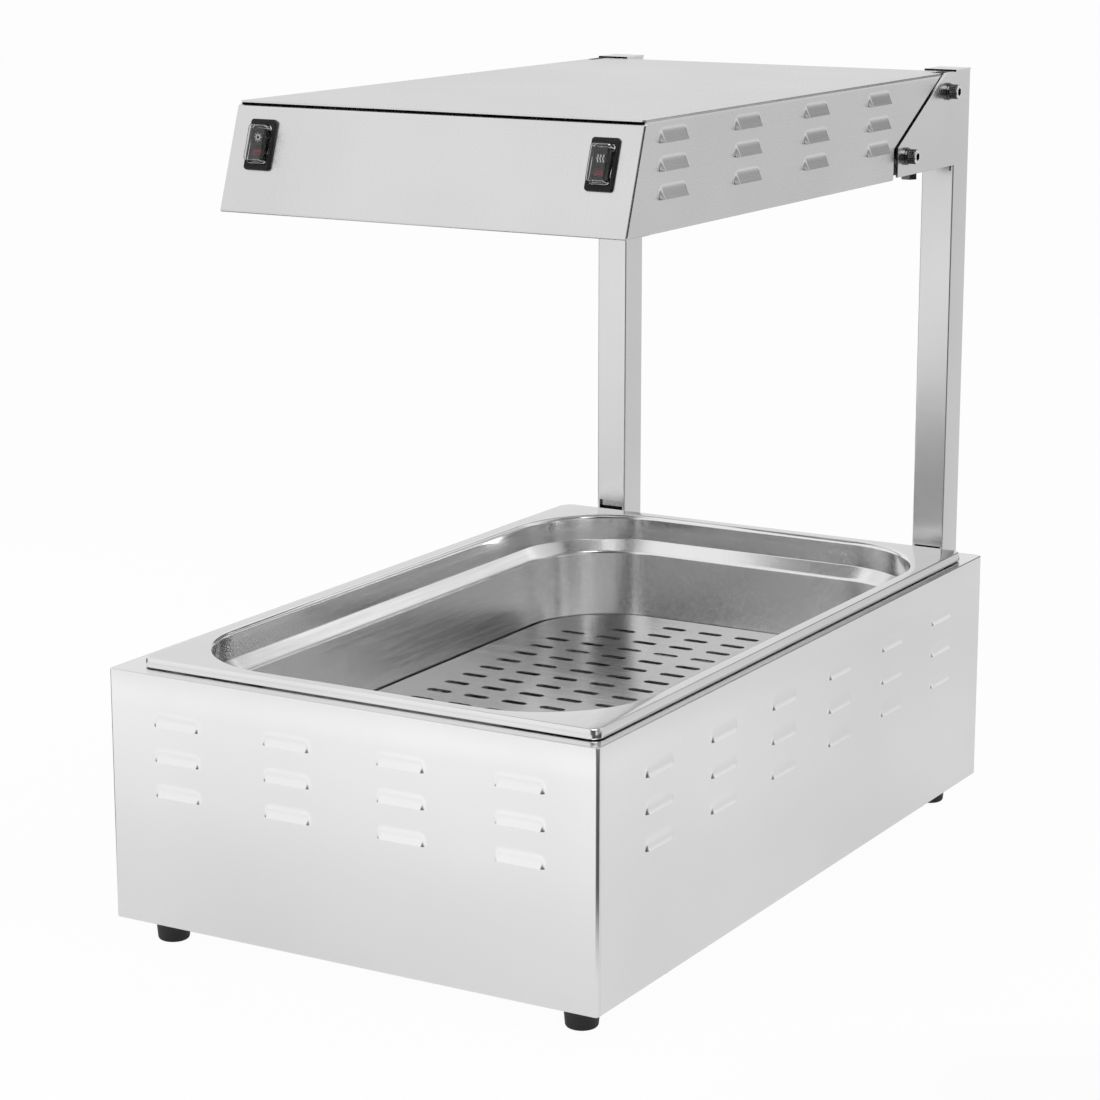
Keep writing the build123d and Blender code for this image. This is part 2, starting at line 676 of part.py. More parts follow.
def terminal_block():
    """Mains terminal block on the base plate behind the tray, with a wire hole for each way."""
    x0 = GLAND_X - BLOCK_L / 2
    y1 = INNER_REAR_Y - FOLD_W - BLOCK_IN
    body = block(x0, x0 + BLOCK_L, y1 - BLOCK_W, y1, FLOOR_TOP_Z, FLOOR_TOP_Z + BLOCK_H)
    pitch = BLOCK_L / BLOCK_WAYS
    z = FLOOR_TOP_Z + BLOCK_H / 2
    ways = [x0 + (k + 0.5) * pitch for k in range(BLOCK_WAYS)]
    return body - [rod(BLOCK_HOLE_R, (x, y1 - BLOCK_W, z), (x, y1, z)) for x in ways]


def cable_gland():
    """Gland through the casing's back: hexagon and tapered nose outside, thread inside."""
    thread = SHEET + LOCKNUT_H + SCREW_TAIL
    nose = Cone(GLAND_R, GLAND_NOSE_R, GLAND_NOSE, align=(Align.CENTER, Align.CENTER, Align.MIN))
    body = hex_prism(GLAND_AF, GLAND_HEX_H) + Pos(0, 0, GLAND_HEX_H) * nose
    body += rod(GLAND_R, (0, 0, -thread), (0, 0, 0))
    body -= rod(GLAND_BORE_R, (0, 0, -thread), (0, 0, GLAND_HEX_H + GLAND_NOSE))
    return Pos(GLAND_X, REAR_Y, GLAND_Z) * Rot(-90, 0, 0) * body


def gland_locknut():
    """Locknut on the gland's thread, inside the casing."""
    body = hex_prism(LOCKNUT_AF, LOCKNUT_H) - rod(GLAND_R + FIT_PLAY, (0, 0, 0), (0, 0, LOCKNUT_H))
    return Pos(GLAND_X, INNER_REAR_Y, GLAND_Z) * Rot(90, 0, 0) * body


def wire_grommet():
    """Rubber grommet in the wire hole, with a lip on the inside face of the casing's back."""
    depth = SHEET + POST_T
    body = ring(GROMMET_R, GROMMET_BORE_R, depth)
    body += Pos(0, 0, depth) * ring(GROMMET_R + GROMMET_LIP, GROMMET_BORE_R, GROMMET_LIP_T)
    x, y, z = grommet_place(REAR_Y + POST_T)
    return Pos(x, y, z) * Rot(90, 0, 0) * body


def post(side):
    """Lipped channel with a gusset in one sheet, open at the back, with its outer face at GANTRY_X."""
    outer = block(POST_IN_X, GANTRY_X, REAR_Y, POST_REAR_Y, POST_LOW_Z, POST_TOP_Z)
    x0, x1 = POST_IN_X + POST_T, GANTRY_X - POST_T
    y0, y1 = REAR_Y + POST_T, POST_REAR_Y - POST_T
    hollow = block(x0, x1, y0, y1, POST_LOW_Z, POST_TOP_Z)
    slot = block(x0 + POST_LIP, x1 - POST_LIP, y1, POST_REAR_Y, POST_LOW_Z, POST_TOP_Z)
    channel = outer - hollow - slot
    gusset = slab_x([
        (REAR_Y + POST_T, GUSSET_Z),
        (GUSSET_Y, GUSSET_Z),
        (GUSSET_Y, GUSSET_Z + GUSSET_NOSE),
        (GUSSET_TOP_Y, POST_TOP_Z),
        (REAR_Y + POST_T, POST_TOP_Z),
    ], x1, GANTRY_X)
    relief = block(x1 - RELIEF_W, x1, REAR_Y, y0, GUSSET_Z - RELIEF_H, GUSSET_Z)
    holes = [rod(SCREW_R + HOLE_PLAY, (x1, y, z), (GANTRY_X, y, z)) for y, z in SCREW_PLACES]
    holes += [
        rod(STUD_R + HOLE_PLAY, (x, REAR_Y, z), (x, y0, z)) for x, z in post_bolt_places() if x > 0
    ]
    body = channel + gusset - relief - holes
    if side > 0:
        return body
    low_z, high_z = DECK_Z - WINDOW_DOWN, DECK_Z + WINDOW_UP
    window = block(x0, x1, REAR_Y, y0, low_z, high_z)
    return mirror(body - window, Plane.YZ)


def post_strips():
    """Strips inside the posts that close the slots in their backs."""
    y1 = POST_REAR_Y - POST_T
    x0, x1 = POST_IN_X + POST_T, GANTRY_X - POST_T
    strip = block(x0 + FIT_PLAY, x1 - FIT_PLAY, y1 - STRIP_T, y1, POST_LOW_Z, POST_TOP_Z - CAP_PLUG)
    return Compound([strip, mirror(strip, Plane.YZ)])


def post_caps():
    """Caps plugged into the tops of the posts."""
    plate = block(POST_IN_X, GANTRY_X, REAR_Y, POST_REAR_Y, POST_TOP_Z, POST_TOP_Z + CAP_T)
    inset = POST_T + FIT_PLAY
    plug = block(
        POST_IN_X + inset, GANTRY_X - inset, REAR_Y + inset, POST_REAR_Y - inset,
        POST_TOP_Z - CAP_PLUG, POST_TOP_Z,
    )
    cap = plate + plug
    return Compound([cap, mirror(cap, Plane.YZ)])


def post_bolts():
    """Round-headed bolts inside the posts, through the casing's back."""
    head = Cylinder(HEAD_R, HEAD_H, align=(Align.CENTER, Align.CENTER, Align.MIN))
    head = fillet(head.edges().filter_by(GeomType.CIRCLE).sort_by(Axis.Z)[-1:], HEAD_H / 2)
    bolt = head + rod(STUD_R, (0, 0, -POST_BOLT_L), (0, 0, 0))
    y = REAR_Y + POST_T
    return Compound([Pos(x, y, z) * Rot(-90, 0, 0) * bolt for x, z in post_bolt_places()])


def post_nuts():
    """Nuts of the post bolts, inside the casing."""
    return Compound([Pos(x, INNER_REAR_Y, z) * Rot(90, 0, 0) * nut() for x, z in post_bolt_places()])


def canopy_shell():
    """Roof and louvred sides of the canopy in one bent sheet, cut away where the gussets take over."""
    roof = block(-GANTRY_X, GANTRY_X, CANOPY_TOP_Y, CANOPY_REAR_Y, CANOPY_ROOF_Z, CANOPY_TOP_Z)
    edge_y = GUSSET_Y - GUSSET_GAP
    run = (GUSSET_TOP_Y - GUSSET_Y) / (POST_TOP_Z - GUSSET_Z - GUSSET_NOSE)
    corner_z = GUSSET_Z + GUSSET_NOSE
    notch_y = edge_y + run * (CANOPY_TOP_Z - corner_z)
    side = slab_x([
        (CANOPY_Y + LEAN_RUN, CANOPY_Z),
        (CANOPY_TOP_Y + LEAN_RUN, CANOPY_TOP_Z),
        (notch_y, CANOPY_TOP_Z),
        (edge_y, corner_z),
        (edge_y, CANOPY_Z),
    ], CANOPY_IN_X, GANTRY_X)
    fold = block(GANTRY_X - CANOPY_FOLD, CANOPY_IN_X, SHELF_Y, edge_y, CANOPY_Z, CANOPY_Z + CANOPY_T)
    notch = block(HANGER_X, GANTRY_X, notch_y, CANOPY_REAR_Y, CANOPY_ROOF_Z, CANOPY_TOP_Z)
    half = side + fold
    shell = roof - notch - mirror(notch, Plane.YZ) + half + mirror(half, Plane.YZ)
    bends = shell.edges().filter_by(Axis.Y).group_by(Axis.Z)[-1].sort_by(Axis.X)
    shell = fillet([bends[0], bends[-1]], CANOPY_BEND_R)
    columns = spread(CANOPY_COLUMNS, CANOPY_Y + CANOPY_END_FRONT, edge_y - CANOPY_END_REAR)
    places = []
    for hand in MIRROR:
        for y in columns:
            for k in range(CANOPY_ROWS):
                z = CANOPY_Z + CANOPY_ROW_Z + k * CANOPY_ROW_PITCH
                places.append(Pos(hand * GANTRY_X, y, z) * Rot(0, 0, hand * 90))
    return louvred(shell, places, CANOPY_T)


def slope_place(x, up):
    """Frame on the canopy's sloping front: x across, y up the slope, z straight out of it."""
    angle = radians(CANOPY_LEAN)
    rise = up * cos(angle)
    return Pos(x, CANOPY_Y + rise * LEAN, CANOPY_Z + rise) * Rot(90 - CANOPY_LEAN, 0, 0)


def canopy_front():
    """Sloping front panel with a fold under the roof, a fold below, and the two switch holes."""
    top_z = CANOPY_ROOF_Z
    top_y = CANOPY_Y + (top_z - CANOPY_Z) * LEAN
    face = slab_x([
        (CANOPY_Y, CANOPY_Z),
        (top_y, top_z),
        (top_y + LEAN_RUN, top_z),
        (CANOPY_Y + LEAN_RUN, CANOPY_Z),
    ], -GANTRY_X, GANTRY_X)
    high_y = top_y + LEAN_RUN + CANOPY_FOLD
    high = slab_x([
        (top_y, top_z),
        (high_y, top_z),
        (high_y, top_z - CANOPY_T),
        (top_y - CANOPY_T * LEAN + LEAN_RUN, top_z - CANOPY_T),
    ], -CANOPY_IN_X, CANOPY_IN_X)
    low = slab_x([
        (CANOPY_Y, CANOPY_Z),
        (SHELF_Y, CANOPY_Z),
        (SHELF_Y, CANOPY_Z + CANOPY_T),
        (CANOPY_Y + CANOPY_T * LEAN, CANOPY_Z + CANOPY_T),
    ], -CANOPY_IN_X, CANOPY_IN_X)
    panel = face + low + high
    hole = Box(BODY_W + 2 * HOLE_PLAY, BODY_H + 2 * HOLE_PLAY, 4 * CANOPY_T)
    return panel - [slope_place(side * SWITCH_X, SWITCH_UP) * hole for side in MIRROR]


def canopy_rear():
    """Plain back of the canopy between the gussets."""
    half = HANGER_X
    return block(-half, half, HANGER_REAR_Y, CANOPY_REAR_Y, HANGER_Z, CANOPY_ROOF_Z)


def hanger_brackets():
    """Plates inside the canopy that the gusset screws clamp, with a flange that carries the reflector."""
    plate = block(HANGER_IN_X, HANGER_X, HANGER_Y, HANGER_REAR_Y, HANGER_Z, CANOPY_ROOF_Z)
    inner_x = HANGER_IN_X - HANGER_FLANGE
    flange = block(inner_x, HANGER_IN_X, HANGER_Y, HANGER_REAR_Y, HANGER_Z, FLANGE_Z)
    holes = [rod(SCREW_R + HOLE_PLAY, (HANGER_IN_X, y, z), (HANGER_X, y, z)) for y, z in SCREW_PLACES]
    holes.append(rod(SCREW_R + HOLE_PLAY, (HEX_X, HEX_Y, HANGER_Z), (HEX_X, HEX_Y, FLANGE_Z)))
    bracket = plate + flange - holes
    return Compound([bracket, mirror(bracket, Plane.YZ)])


def on_gussets(piece, x):
    """Copies of a piece made along +Z, set at each gusset screw with its foot at x on both sides."""
    right = [Pos(x, y, z) * Rot(0, 90, 0) * piece for y, z in SCREW_PLACES]
    left = [Pos(-x, y, z) * Rot(0, -90, 0) * piece for y, z in SCREW_PLACES]
    return Compound(right + left)


def gusset_screws():
    """Socket-head screws through the gussets, the spacers and the hanger brackets."""
    shank = POST_T + SPACER_L + HANGER_T + NUT_H + SCREW_TAIL + WASHER_T + SPRING_T
    head = Cylinder(HEAD_R, HEAD_H, align=(Align.CENTER, Align.CENTER, Align.MIN))
    head -= Pos(0, 0, HEAD_H - SOCKET_DEPTH) * hex_prism(SOCKET_AF, SOCKET_DEPTH)
    screw = head + rod(SCREW_R, (0, 0, -shank), (0, 0, 0))
    return on_gussets(screw, GANTRY_X + WASHER_T + SPRING_T)


def gusset_washers():
    """Flat washers against the gussets."""
    return on_gussets(ring(WASHER_R, SCREW_R + FIT_PLAY, WASHER_T), GANTRY_X)


def spring_washers():
    """Split spring washers under the screw heads."""
    washer = ring(SPRING_R, SCREW_R + FIT_PLAY, SPRING_T)
    washer -= block(0, SPRING_R, -SPRING_SLIT / 2, SPRING_SLIT / 2, 0, SPRING_T)
    return on_gussets(washer, GANTRY_X + WASHER_T)


def gusset_spacers():
    """Sleeves between the gussets and the hanger brackets."""
    return on_gussets(ring(SPACER_R, SCREW_R + FIT_PLAY, SPACER_L), HANGER_X)


def gusset_nuts():
    """Nuts behind the hanger brackets."""
    return on_gussets(nut(), HANGER_IN_X - NUT_H)


def hex_bolts():
    """Hexagon bolts that hang below the canopy and hold the reflector to the hanger brackets."""
    low = -WASHER_T - SPRING_T - HEX_H
    bolt = Pos(0, 0, low) * hex_prism(HEX_AF, HEX_H)
    bolt += rod(SCREW_R, (0, 0, low), (0, 0, HANGER_T + REFLECTOR_T + NUT_H + SCREW_TAIL))
    return Compound([Pos(side * HEX_X, HEX_Y, HANGER_Z) * bolt for side in MIRROR])


def hex_washers():
    """Flat and spring washers of the hexagon bolts, in one stack each."""
    flat = Pos(0, 0, -WASHER_T) * ring(WASHER_R, SCREW_R + FIT_PLAY, WASHER_T)
    spring = Pos(0, 0, -WASHER_T - SPRING_T) * ring(SPRING_R, SCREW_R + FIT_PLAY, SPRING_T)
    pieces = [Pos(side * HEX_X, HEX_Y, HANGER_Z) * piece for side in MIRROR for piece in (flat, spring)]
    return Compound(pieces)


def hex_nuts():
    """Nuts of the hexagon bolts, on the reflector's flange."""
    return Compound([Pos(side * HEX_X, HEX_Y, FLANGE_TOP_Z) * nut() for side in MIRROR])


def reflector():
    """Bent trough over the heat tubes, on the hanger flanges at the back and the front fold ahead."""
    top_x = TROUGH_X - REFLECTOR_SPLAY
    out_x = HANGER_IN_X
    outline = [
        (-out_x, FLANGE_Z), (-out_x, FLANGE_TOP_Z), (-TROUGH_X, FLANGE_TOP_Z),
        (-top_x, TROUGH_TOP_Z), (top_x, TROUGH_TOP_Z),
        (TROUGH_X, FLANGE_TOP_Z), (out_x, FLANGE_TOP_Z), (out_x, FLANGE_Z),
        (TROUGH_X - REFLECTOR_T, FLANGE_Z),
        (top_x - REFLECTOR_T, TROUGH_TOP_Z - REFLECTOR_T),
        (-top_x + REFLECTOR_T, TROUGH_TOP_Z - REFLECTOR_T),
        (-TROUGH_X + REFLECTOR_T, FLANGE_Z),
    ]
    trough = slab_y(outline, REFLECTOR_Y0, REFLECTOR_Y1)
    lips = [
        block(min(a, b), max(a, b), REFLECTOR_Y0, SHELF_Y, CANOPY_Z + CANOPY_T, FLANGE_Z)
        for a, b in ((TROUGH_X, out_x), (-out_x, -TROUGH_X))
    ]
    holes = [
        rod(SCREW_R + HOLE_PLAY, (side * HEX_X, HEX_Y, FLANGE_Z), (side * HEX_X, HEX_Y, FLANGE_TOP_Z))
        for side in MIRROR
    ]
    return trough + lips - holes


def tube_ends():
    """Front and rear ends of the heat tubes."""
    return REFLECTOR_Y0 + TUBE_INSET, REFLECTOR_Y1 - TUBE_INSET


def heat_tubes():
    """Two quartz heat tubes that run from front to back."""
    y0, y1 = tube_ends()
    ends = [((side * TUBE_X, y0, TUBE_Z), (side * TUBE_X, y1, TUBE_Z)) for side in MIRROR]
    return Compound([rod(TUBE_R, first, last) for first, last in ends])


def tube_sockets():
    """Ceramic sockets that hang from the reflector and hold the ends of the heat tubes."""
    half = SOCKET_W / 2
    sockets = []
    for side in MIRROR:
        for y, turn in zip(tube_ends(), (-1, 1)):
            inner = y - turn * SOCKET_T / 2
            outer = y + turn * SOCKET_T / 2
            body = block(
                side * TUBE_X - half, side * TUBE_X + half, min(inner, outer), max(inner, outer),
                TUBE_Z - SOCKET_DROP, TROUGH_TOP_Z - REFLECTOR_T,
            )
            body -= rod(TUBE_R + FIT_PLAY, (side * TUBE_X, inner, TUBE_Z), (side * TUBE_X, y, TUBE_Z))
            sockets.append(body)
    return Compound(sockets)


def guard_grille():
    """Welded wire guard under the heat tubes, on two flat bars against the reflector's flanges."""
    y0 = SHELF_Y + WIRE_EDGE
    y1 = REFLECTOR_Y1 - WIRE_EDGE
    z = FLANGE_Z - WIRE_R
    xs = centred(WIRE_COLUMNS, 2 * TROUGH_X / (WIRE_COLUMNS + 1))
    ys = [(y0 + y1) / 2 + y for y in centred(WIRE_ROWS, (y1 - y0) / WIRE_ROWS)]
    along = [rod(WIRE_R, (x, y0, z), (x, y1, z)) for x in xs]
    across = [rod(WIRE_R, (-TROUGH_X - WIRE_R, y, z), (TROUGH_X + WIRE_R, y, z)) for y in ys]
    bar = block(TROUGH_X, TROUGH_X + BAR_W, y0, y1, FLANGE_Z - 2 * WIRE_R, FLANGE_Z)
    return bar + mirror(bar, Plane.YZ) + across + along


def switch_body():
    """Switch with a bezel on the panel, a well for the rocker, pivot holes and three blades behind."""
    bezel = extrude(RectangleRounded(BEZEL_W, BEZEL_H, BEZEL_R), BEZEL_T)
    bezel = fillet(bezel.faces().sort_by(Axis.Z)[-1].edges(), BEZEL_T / 3)
    body = bezel + block(-BODY_W / 2, BODY_W / 2, -BODY_H / 2, BODY_H / 2, -BODY_DEPTH, 0)
    reach = rocker_reach() + ROCKER_PLAY
    side = ROCKER_W / 2 + ROCKER_PLAY
    body -= block(-side, side, -reach, reach, -2 * ROCKER_DROP, BEZEL_T)
    hole_x = side + PIVOT_L
    body -= rod(PIVOT_R + FIT_PLAY, (-hole_x, 0, 0), (hole_x, 0, 0))
    blades = [
        block(-BLADE_W / 2, BLADE_W / 2, y, y + BLADE_T, -BODY_DEPTH - BLADE_L, -BODY_DEPTH)
        for y in centred(3, BLADE_PITCH)
    ]
    return body + blades


def rocker_reach():
    """Furthest that a rocker's raised end gets from its pivot along the switch."""
    angle = radians(ROCKER_TILT)
    end = ROCKER_TOP + ROCKER_H / 2 * tan(angle)
    return ROCKER_H / 2 * cos(angle) + end * tan(angle)


def switch_rocker():
    """Rocker with two sloping halves and a pivot stub on each side, tipped to its off stop."""
    half = ROCKER_H / 2
    end = ROCKER_TOP + half * tan(radians(ROCKER_TILT))
    body = slab_x([
        (-half, -ROCKER_DROP / 2), (-half, end), (0, ROCKER_TOP), (half, end), (half, -ROCKER_DROP / 2),
        (half / 2, -ROCKER_DROP), (-half / 2, -ROCKER_DROP),
    ], -ROCKER_W / 2, ROCKER_W / 2)
    pivot_x = ROCKER_W / 2 + ROCKER_PLAY / 2 + PIVOT_L
    return Rot(ROCKER_TILT, 0, 0) * (body + rod(PIVOT_R, (-pivot_x, 0, 0), (pivot_x, 0, 0)))


def switch_cover():
    """Clear splash cover on the bezel, over the rocker."""
    half_x = ROCKER_W / 2 + COVER_SIDE
    half_y = rocker_reach() + COVER_SIDE
    top = BEZEL_T + COVER_H
    shell = rounded(2 * (half_x + COVER_T), 2 * (half_y + COVER_T), BEZEL_R, BEZEL_T, top)
    shell = fillet(shell.faces().sort_by(Axis.Z)[-1].edges(), COVER_T)
    return shell - block(-half_x, half_x, -half_y, half_y, BEZEL_T, top - COVER_T)


PIECES = {
    "front_panel": front_panel(),
    "casing_wrap": casing_wrap(),
    "deck": deck(),
    "base_plate": base_plate(),
    "base_screws": base_screws(),
    "rubber_feet": rubber_feet(),
    "foot_studs": foot_studs(),
    "foot_nuts": foot_nuts(),
    "gn_pan": gn_pan(),
    "drain_plate": drain_plate(),
    "base_element": base_element(),
    "element_clips": element_clips(),
    "heat_tray": heat_tray(),
    "thermal_cutout": thermal_cutout(),
    "terminal_block": terminal_block(),
    "cable_gland": cable_gland(),
    "gland_locknut": gland_locknut(),
    "wire_grommet": wire_grommet(),
    "left_post": post(-1),
    "right_post": post(1),
    "post_strips": post_strips(),
    "post_caps": post_caps(),
    "post_bolts": post_bolts(),
    "post_nuts": post_nuts(),
    "canopy_shell": canopy_shell(),
    "canopy_front": canopy_front(),
    "canopy_rear": canopy_rear(),
    "hanger_brackets": hanger_brackets(),
    "gusset_screws": gusset_screws(),
    "gusset_washers": gusset_washers(),
    "spring_washers": spring_washers(),
    "gusset_spacers": gusset_spacers(),
    "gusset_nuts": gusset_nuts(),
    "hex_bolts": hex_bolts(),
    "hex_washers": hex_washers(),
    "hex_nuts": hex_nuts(),
    "reflector": reflector(),
    "heat_tubes": heat_tubes(),
    "tube_sockets": tube_sockets(),
    "guard_grille": guard_grille(),
}
for name, side in (("left", -1), ("right", 1)):
    place = slope_place(side * SWITCH_X, SWITCH_UP)
    PIECES[f"{name}_switch"] = place * switch_body()
    PIECES[f"{name}_rocker"] = place * switch_rocker()
    PIECES[f"{name}_switch_cover"] = place * switch_cover()

os.makedirs("parts", exist_ok=True)
for name, piece in PIECES.items():
    export_step(piece, f"parts/{name}.step")
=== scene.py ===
import json

import bmesh
import bpy
import numpy as np
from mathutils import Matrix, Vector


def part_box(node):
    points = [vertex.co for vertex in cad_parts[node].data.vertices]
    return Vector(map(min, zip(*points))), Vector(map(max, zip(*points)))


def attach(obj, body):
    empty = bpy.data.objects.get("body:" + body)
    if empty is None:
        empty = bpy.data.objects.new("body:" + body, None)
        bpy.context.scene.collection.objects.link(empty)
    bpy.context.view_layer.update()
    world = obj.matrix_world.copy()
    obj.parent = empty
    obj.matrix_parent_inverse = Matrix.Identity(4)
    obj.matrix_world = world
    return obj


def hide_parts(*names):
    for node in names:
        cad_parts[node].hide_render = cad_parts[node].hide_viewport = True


# Heated chip scuttle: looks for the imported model. Sizes are in millimetres until a mesh is made.
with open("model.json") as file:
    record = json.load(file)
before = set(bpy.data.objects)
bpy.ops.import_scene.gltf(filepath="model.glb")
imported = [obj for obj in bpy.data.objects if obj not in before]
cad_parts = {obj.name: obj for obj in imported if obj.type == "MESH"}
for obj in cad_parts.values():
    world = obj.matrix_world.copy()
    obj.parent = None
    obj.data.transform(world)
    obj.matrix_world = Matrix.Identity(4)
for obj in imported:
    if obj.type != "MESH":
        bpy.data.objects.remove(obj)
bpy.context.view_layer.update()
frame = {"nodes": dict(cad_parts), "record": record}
MM = 0.001
SHARP = np.radians(34)
MERGE_GAP_M = 2e-6
SLIVER_M = 1e-6
TOUCH = 0.01
SAME = 1e-9
BEND_STEPS = 6
SHORT_RUN = 8.0

# Casing
SIDE_X = 174.0
FRONT_Y = -291.75
REAR_Y = 270.25
BASE_Z = 18.0
DECK_Z = 180.0
CASE_WALL = 0.9
SHEET_EDGE_R = 0.6
SHEET_EDGE_MIDDLE = 0.3
FRONT_BEND_R = 2.6
FRONT_RETURN = 3.0
REAR_BEND_R = 4.0
BUTT_GAP = 0.12

# Pan: its section is given by insets from the flange's edge and drops from the rim's top
PAN_X = 5.0
PAN_Y = -15.75
PAN_W = 325.0
PAN_L = 530.0
PAN_DEPTH = 100.0
PAN_WALL = 0.9
PAN_CORNER_R = 75.0
RIM_Z = 186.7
RIM_CORNER_R = 7.0
RIM_IN = 6.0
RIM_CORNER_FALL = 0.8
FLANGE_W = 10.5
SKIRT_H = 6.0
SKIRT_LEAN = 0.9
SKIRT_CURL = 0.9
LIP_DROP = 18.5
LEDGE_IN = 17.5
LEDGE_DROP = 26.8
WALL_FOOT_IN = 21.0
FLOOR_IN = 42.0
PAN_FILLETS = (0.5, 0.9, 3.0, 1.0, 5.0, 12.0)
POLISH_DROP = (9.0, 6.0)
POLISH_LESS = 0.07

# Posts with their gussets, and the folded tab behind the slit at each foot
GANTRY_X = 143.0
POST_W = 24.0
POST_LIP = 7.5
POST_WALL = 1.5
POST_BEND_R = 1.2
POST_REAR_Y = 296.25
POST_LOW_Z = 30.0
POST_TOP_Z = 522.8
POST_FOOT_ROW = 0.4
GUSSET_Z = 457.5
GUSSET_Y = 174.25
GUSSET_NOSE_Z = 477.5
GUSSET_TOP_Y = 252.55
GUSSET_GAP = 7.25
GUSSET_CHAMFER = 0.25
RELIEF_H = 4.0
RELIEF_IN = 3.2
SLIT_NEAR = 2.2
SLIT_FAR = 2.02
FOOT_SLIT = {-1: (140.0, 188.0), 1: (140.0, 182.4)}
TAB_Y = 272.85
TAB_LAP = 3.0
TAB_FOLD = 8.0
TAB_BEND_R = 1.5
TAB_SIDE_GAP = 2.0
TAB_WALL = 0.8
# Painted shade: the tab is near black below this drop from the left slit's top
TAB_SHADE_DROP = 5.0
# Painted shadow gap: the cap's front strip this deep is near black
CAP_SHADE = 0.1
SHADE_BLEND = 0.3

# Canopy
CANOPY_Z = 456.0
CANOPY_TOP_Z = 523.0
CANOPY_Y = -207.25
CANOPY_TOP_Y = -184.18
CANOPY_REAR_Y = 266.25
CANOPY_WALL = 1.1
LEAN = 0.344328
SHELF_X = 131.0
SHELF_Y = -177.98
SHELF_BEND_R = 1.4
ROOF_BEND_R = 2.0
ROOF_LAP = 0.2
ROOF_STEP_X = (133.45, 133.5)
ROOF_BAYS = 24
SIDE_LOW_Z = CANOPY_Z + 2.0
SIDE_HIGH_Z = CANOPY_TOP_Z - 3.0
SIDE_LAP = 2.5
FRONT_TOP_GAP = 2.7
FRONT_FOLD = 14.0
FRONT_TOP_BEND_R = 1.6
FRONT_END_STEPS = np.array([0.0, 0.3, 0.7])

# Louvres: half length, rise above the lower edge, how far the upper corners draw in and a guard beside them;
# for each sheet how far they stand out, the upper fillet's share of the rise, and the length of the ends
LOUVRE_HALF = 18.0
LOUVRE_RISE = 10.0
LOUVRE_BOW = 6.0
LOUVRE_GUARD = 0.5
CASE_HOOD = (1.8, 1.0, 4.0)
CANOPY_HOOD = (3.4, 0.4, 3.5)
CASE_ROWS = (102.5, 125.1, 147.7)
FRONT_COLUMNS = (-122.4, -40.8, 40.8, 122.4)
SIDE_COLUMNS = tuple(-218.25 + 83.0 * k for k in range(6))
CANOPY_ROWS = (475.0, 491.5, 508.0)
CANOPY_COLUMNS = tuple(-149.75 + 96.7 * k for k in range(4))

# Switches on the sloping front
SWITCH_X = 120.5
SWITCH_Y = -193.088
SWITCH_Z = 497.130
BLADE_Y = (-7.6, 0.4, 8.4)
ROCKER_HALF_L = 9.5
STUB_R = 1.2
STUB_ENDS = (5.2, 6.95)
LENS_HALF_W = 2.8
LENS_Y = (-7.0, -3.2)
LENS_LIFT = 0.08
LENS_WALL = 0.3
MARK_LIFT = 0.1
MARK_WALL = 0.15
HEAT_WAVE_CENTRES = (-1.8, 0.0, 1.8)
HEAT_WAVE_SWING = 0.4
HEAT_WAVE_HALF_W = 0.24
HEAT_WAVE_Y = 0.9
HEAT_WAVE_L = 4.6
LAMP_SIGN_Y = 4.2
LAMP_SIGN_RING = (1.1, 1.7)
LAMP_RAY = (2.1, 2.8)
LAMP_RAY_HALF_W = 0.22
COVER_WALL = 0.6

# Feet, gusset screws and heat tubes
FOOT_X = 149.0
FOOT_INSET = 26.0
FOOT_EDGE_R = 2.2
FOOT_SOLE_R = 7.9
SCREW_PLACES = ((255.25, 510.0), (186.25, 471.0))
SCREW_X = GANTRY_X + 3.2
SCREW_R = 3.0
SHANK_L = 21.2
HEAD_R = 5.0
HEAD_H = 6.0
HEAD_SHADE = 0.6
SOCKET_AF = 5.0
SOCKET_DEPTH = 3.0
KNURL_TEETH = 26
KNURL_DEPTH = 0.32
AXLE = 0.01
TUBE_X = 52.0
TUBE_FLAT_R = 5.0
COIL_TURNS = 80
COIL_STEPS = 14
COIL_R = 3.4
COIL_END = 9.0
WIRE_R = 0.45

# Floor, light and camera, in metres
FLOOR_REACH = 14.0
FLOOR_Z = -0.0002
SEEN_WHITE = 0.97
MIRRORED_WHITE = 0.5
# Painted shade on the floor and painted dark reflection in its gloss, in two wedges beside the casing
UNLIT_SHARE = 0.06
UNLIT_FROM = (0.07, 0.22)
UNLIT_RIGHT = ((0.94, -0.342, 0.0), 0.47, 0.745)
UNLIT_LEFT = ((-0.985, 0.17, 0.0), 0.91, 0.98)
# Painted shadow on the floor paper: darker near the object and towards the back
PAPER_NEAR_PAINTED_SHADOW = (0.45, 0.95, 0.25, 1.0)
PAPER_BACK_PAINTED_SHADOW = (1.0, 0.5, 0.15, 0.75)
PHOTO_PIXELS = 1100.0
FOCAL_PIXELS = 3089.5
SENSOR_MM = 36.0
EYE_PLACE = (0.9931, -1.75175, 0.6778)
EYE_DOWN = 12.881
EYE_TURN = 30.226

# Room: an aim, the levels away from it and towards it, and the cosines between which one becomes the other
ROOM_OVERHEAD = ((0, 0, 1), 1.0, 0.62, 0.5, 0.88)
ROOM_PATCHES = (
    ((-0.97, -0.24, 0), -0.08, 0.0, -0.8, 0.3),
    ((0.45, 0.85, 0.27), 0.0, -0.5, 0.97, 0.995),
    ((0.32, 0.81, 0.48), 0.0, 0.25, 0.97, 0.99),
    ((-0.49, -0.32, 0.80), 0.0, 0.36, 0.93, 0.98),
    ((-0.48, 0.86, 0.15), 0.0, -0.18, 0.93, 0.985),
    ((0.05, 0.95, 0.31), 0.0, -0.8, 0.9455, 0.974),
    ((0.47, -0.84, 0.27), 0.0, -0.85, 0.82, 0.945),
    ((0.93, 0.0, 0.37), 0.0, -0.6, 0.86, 0.95),
)


# Mesh making

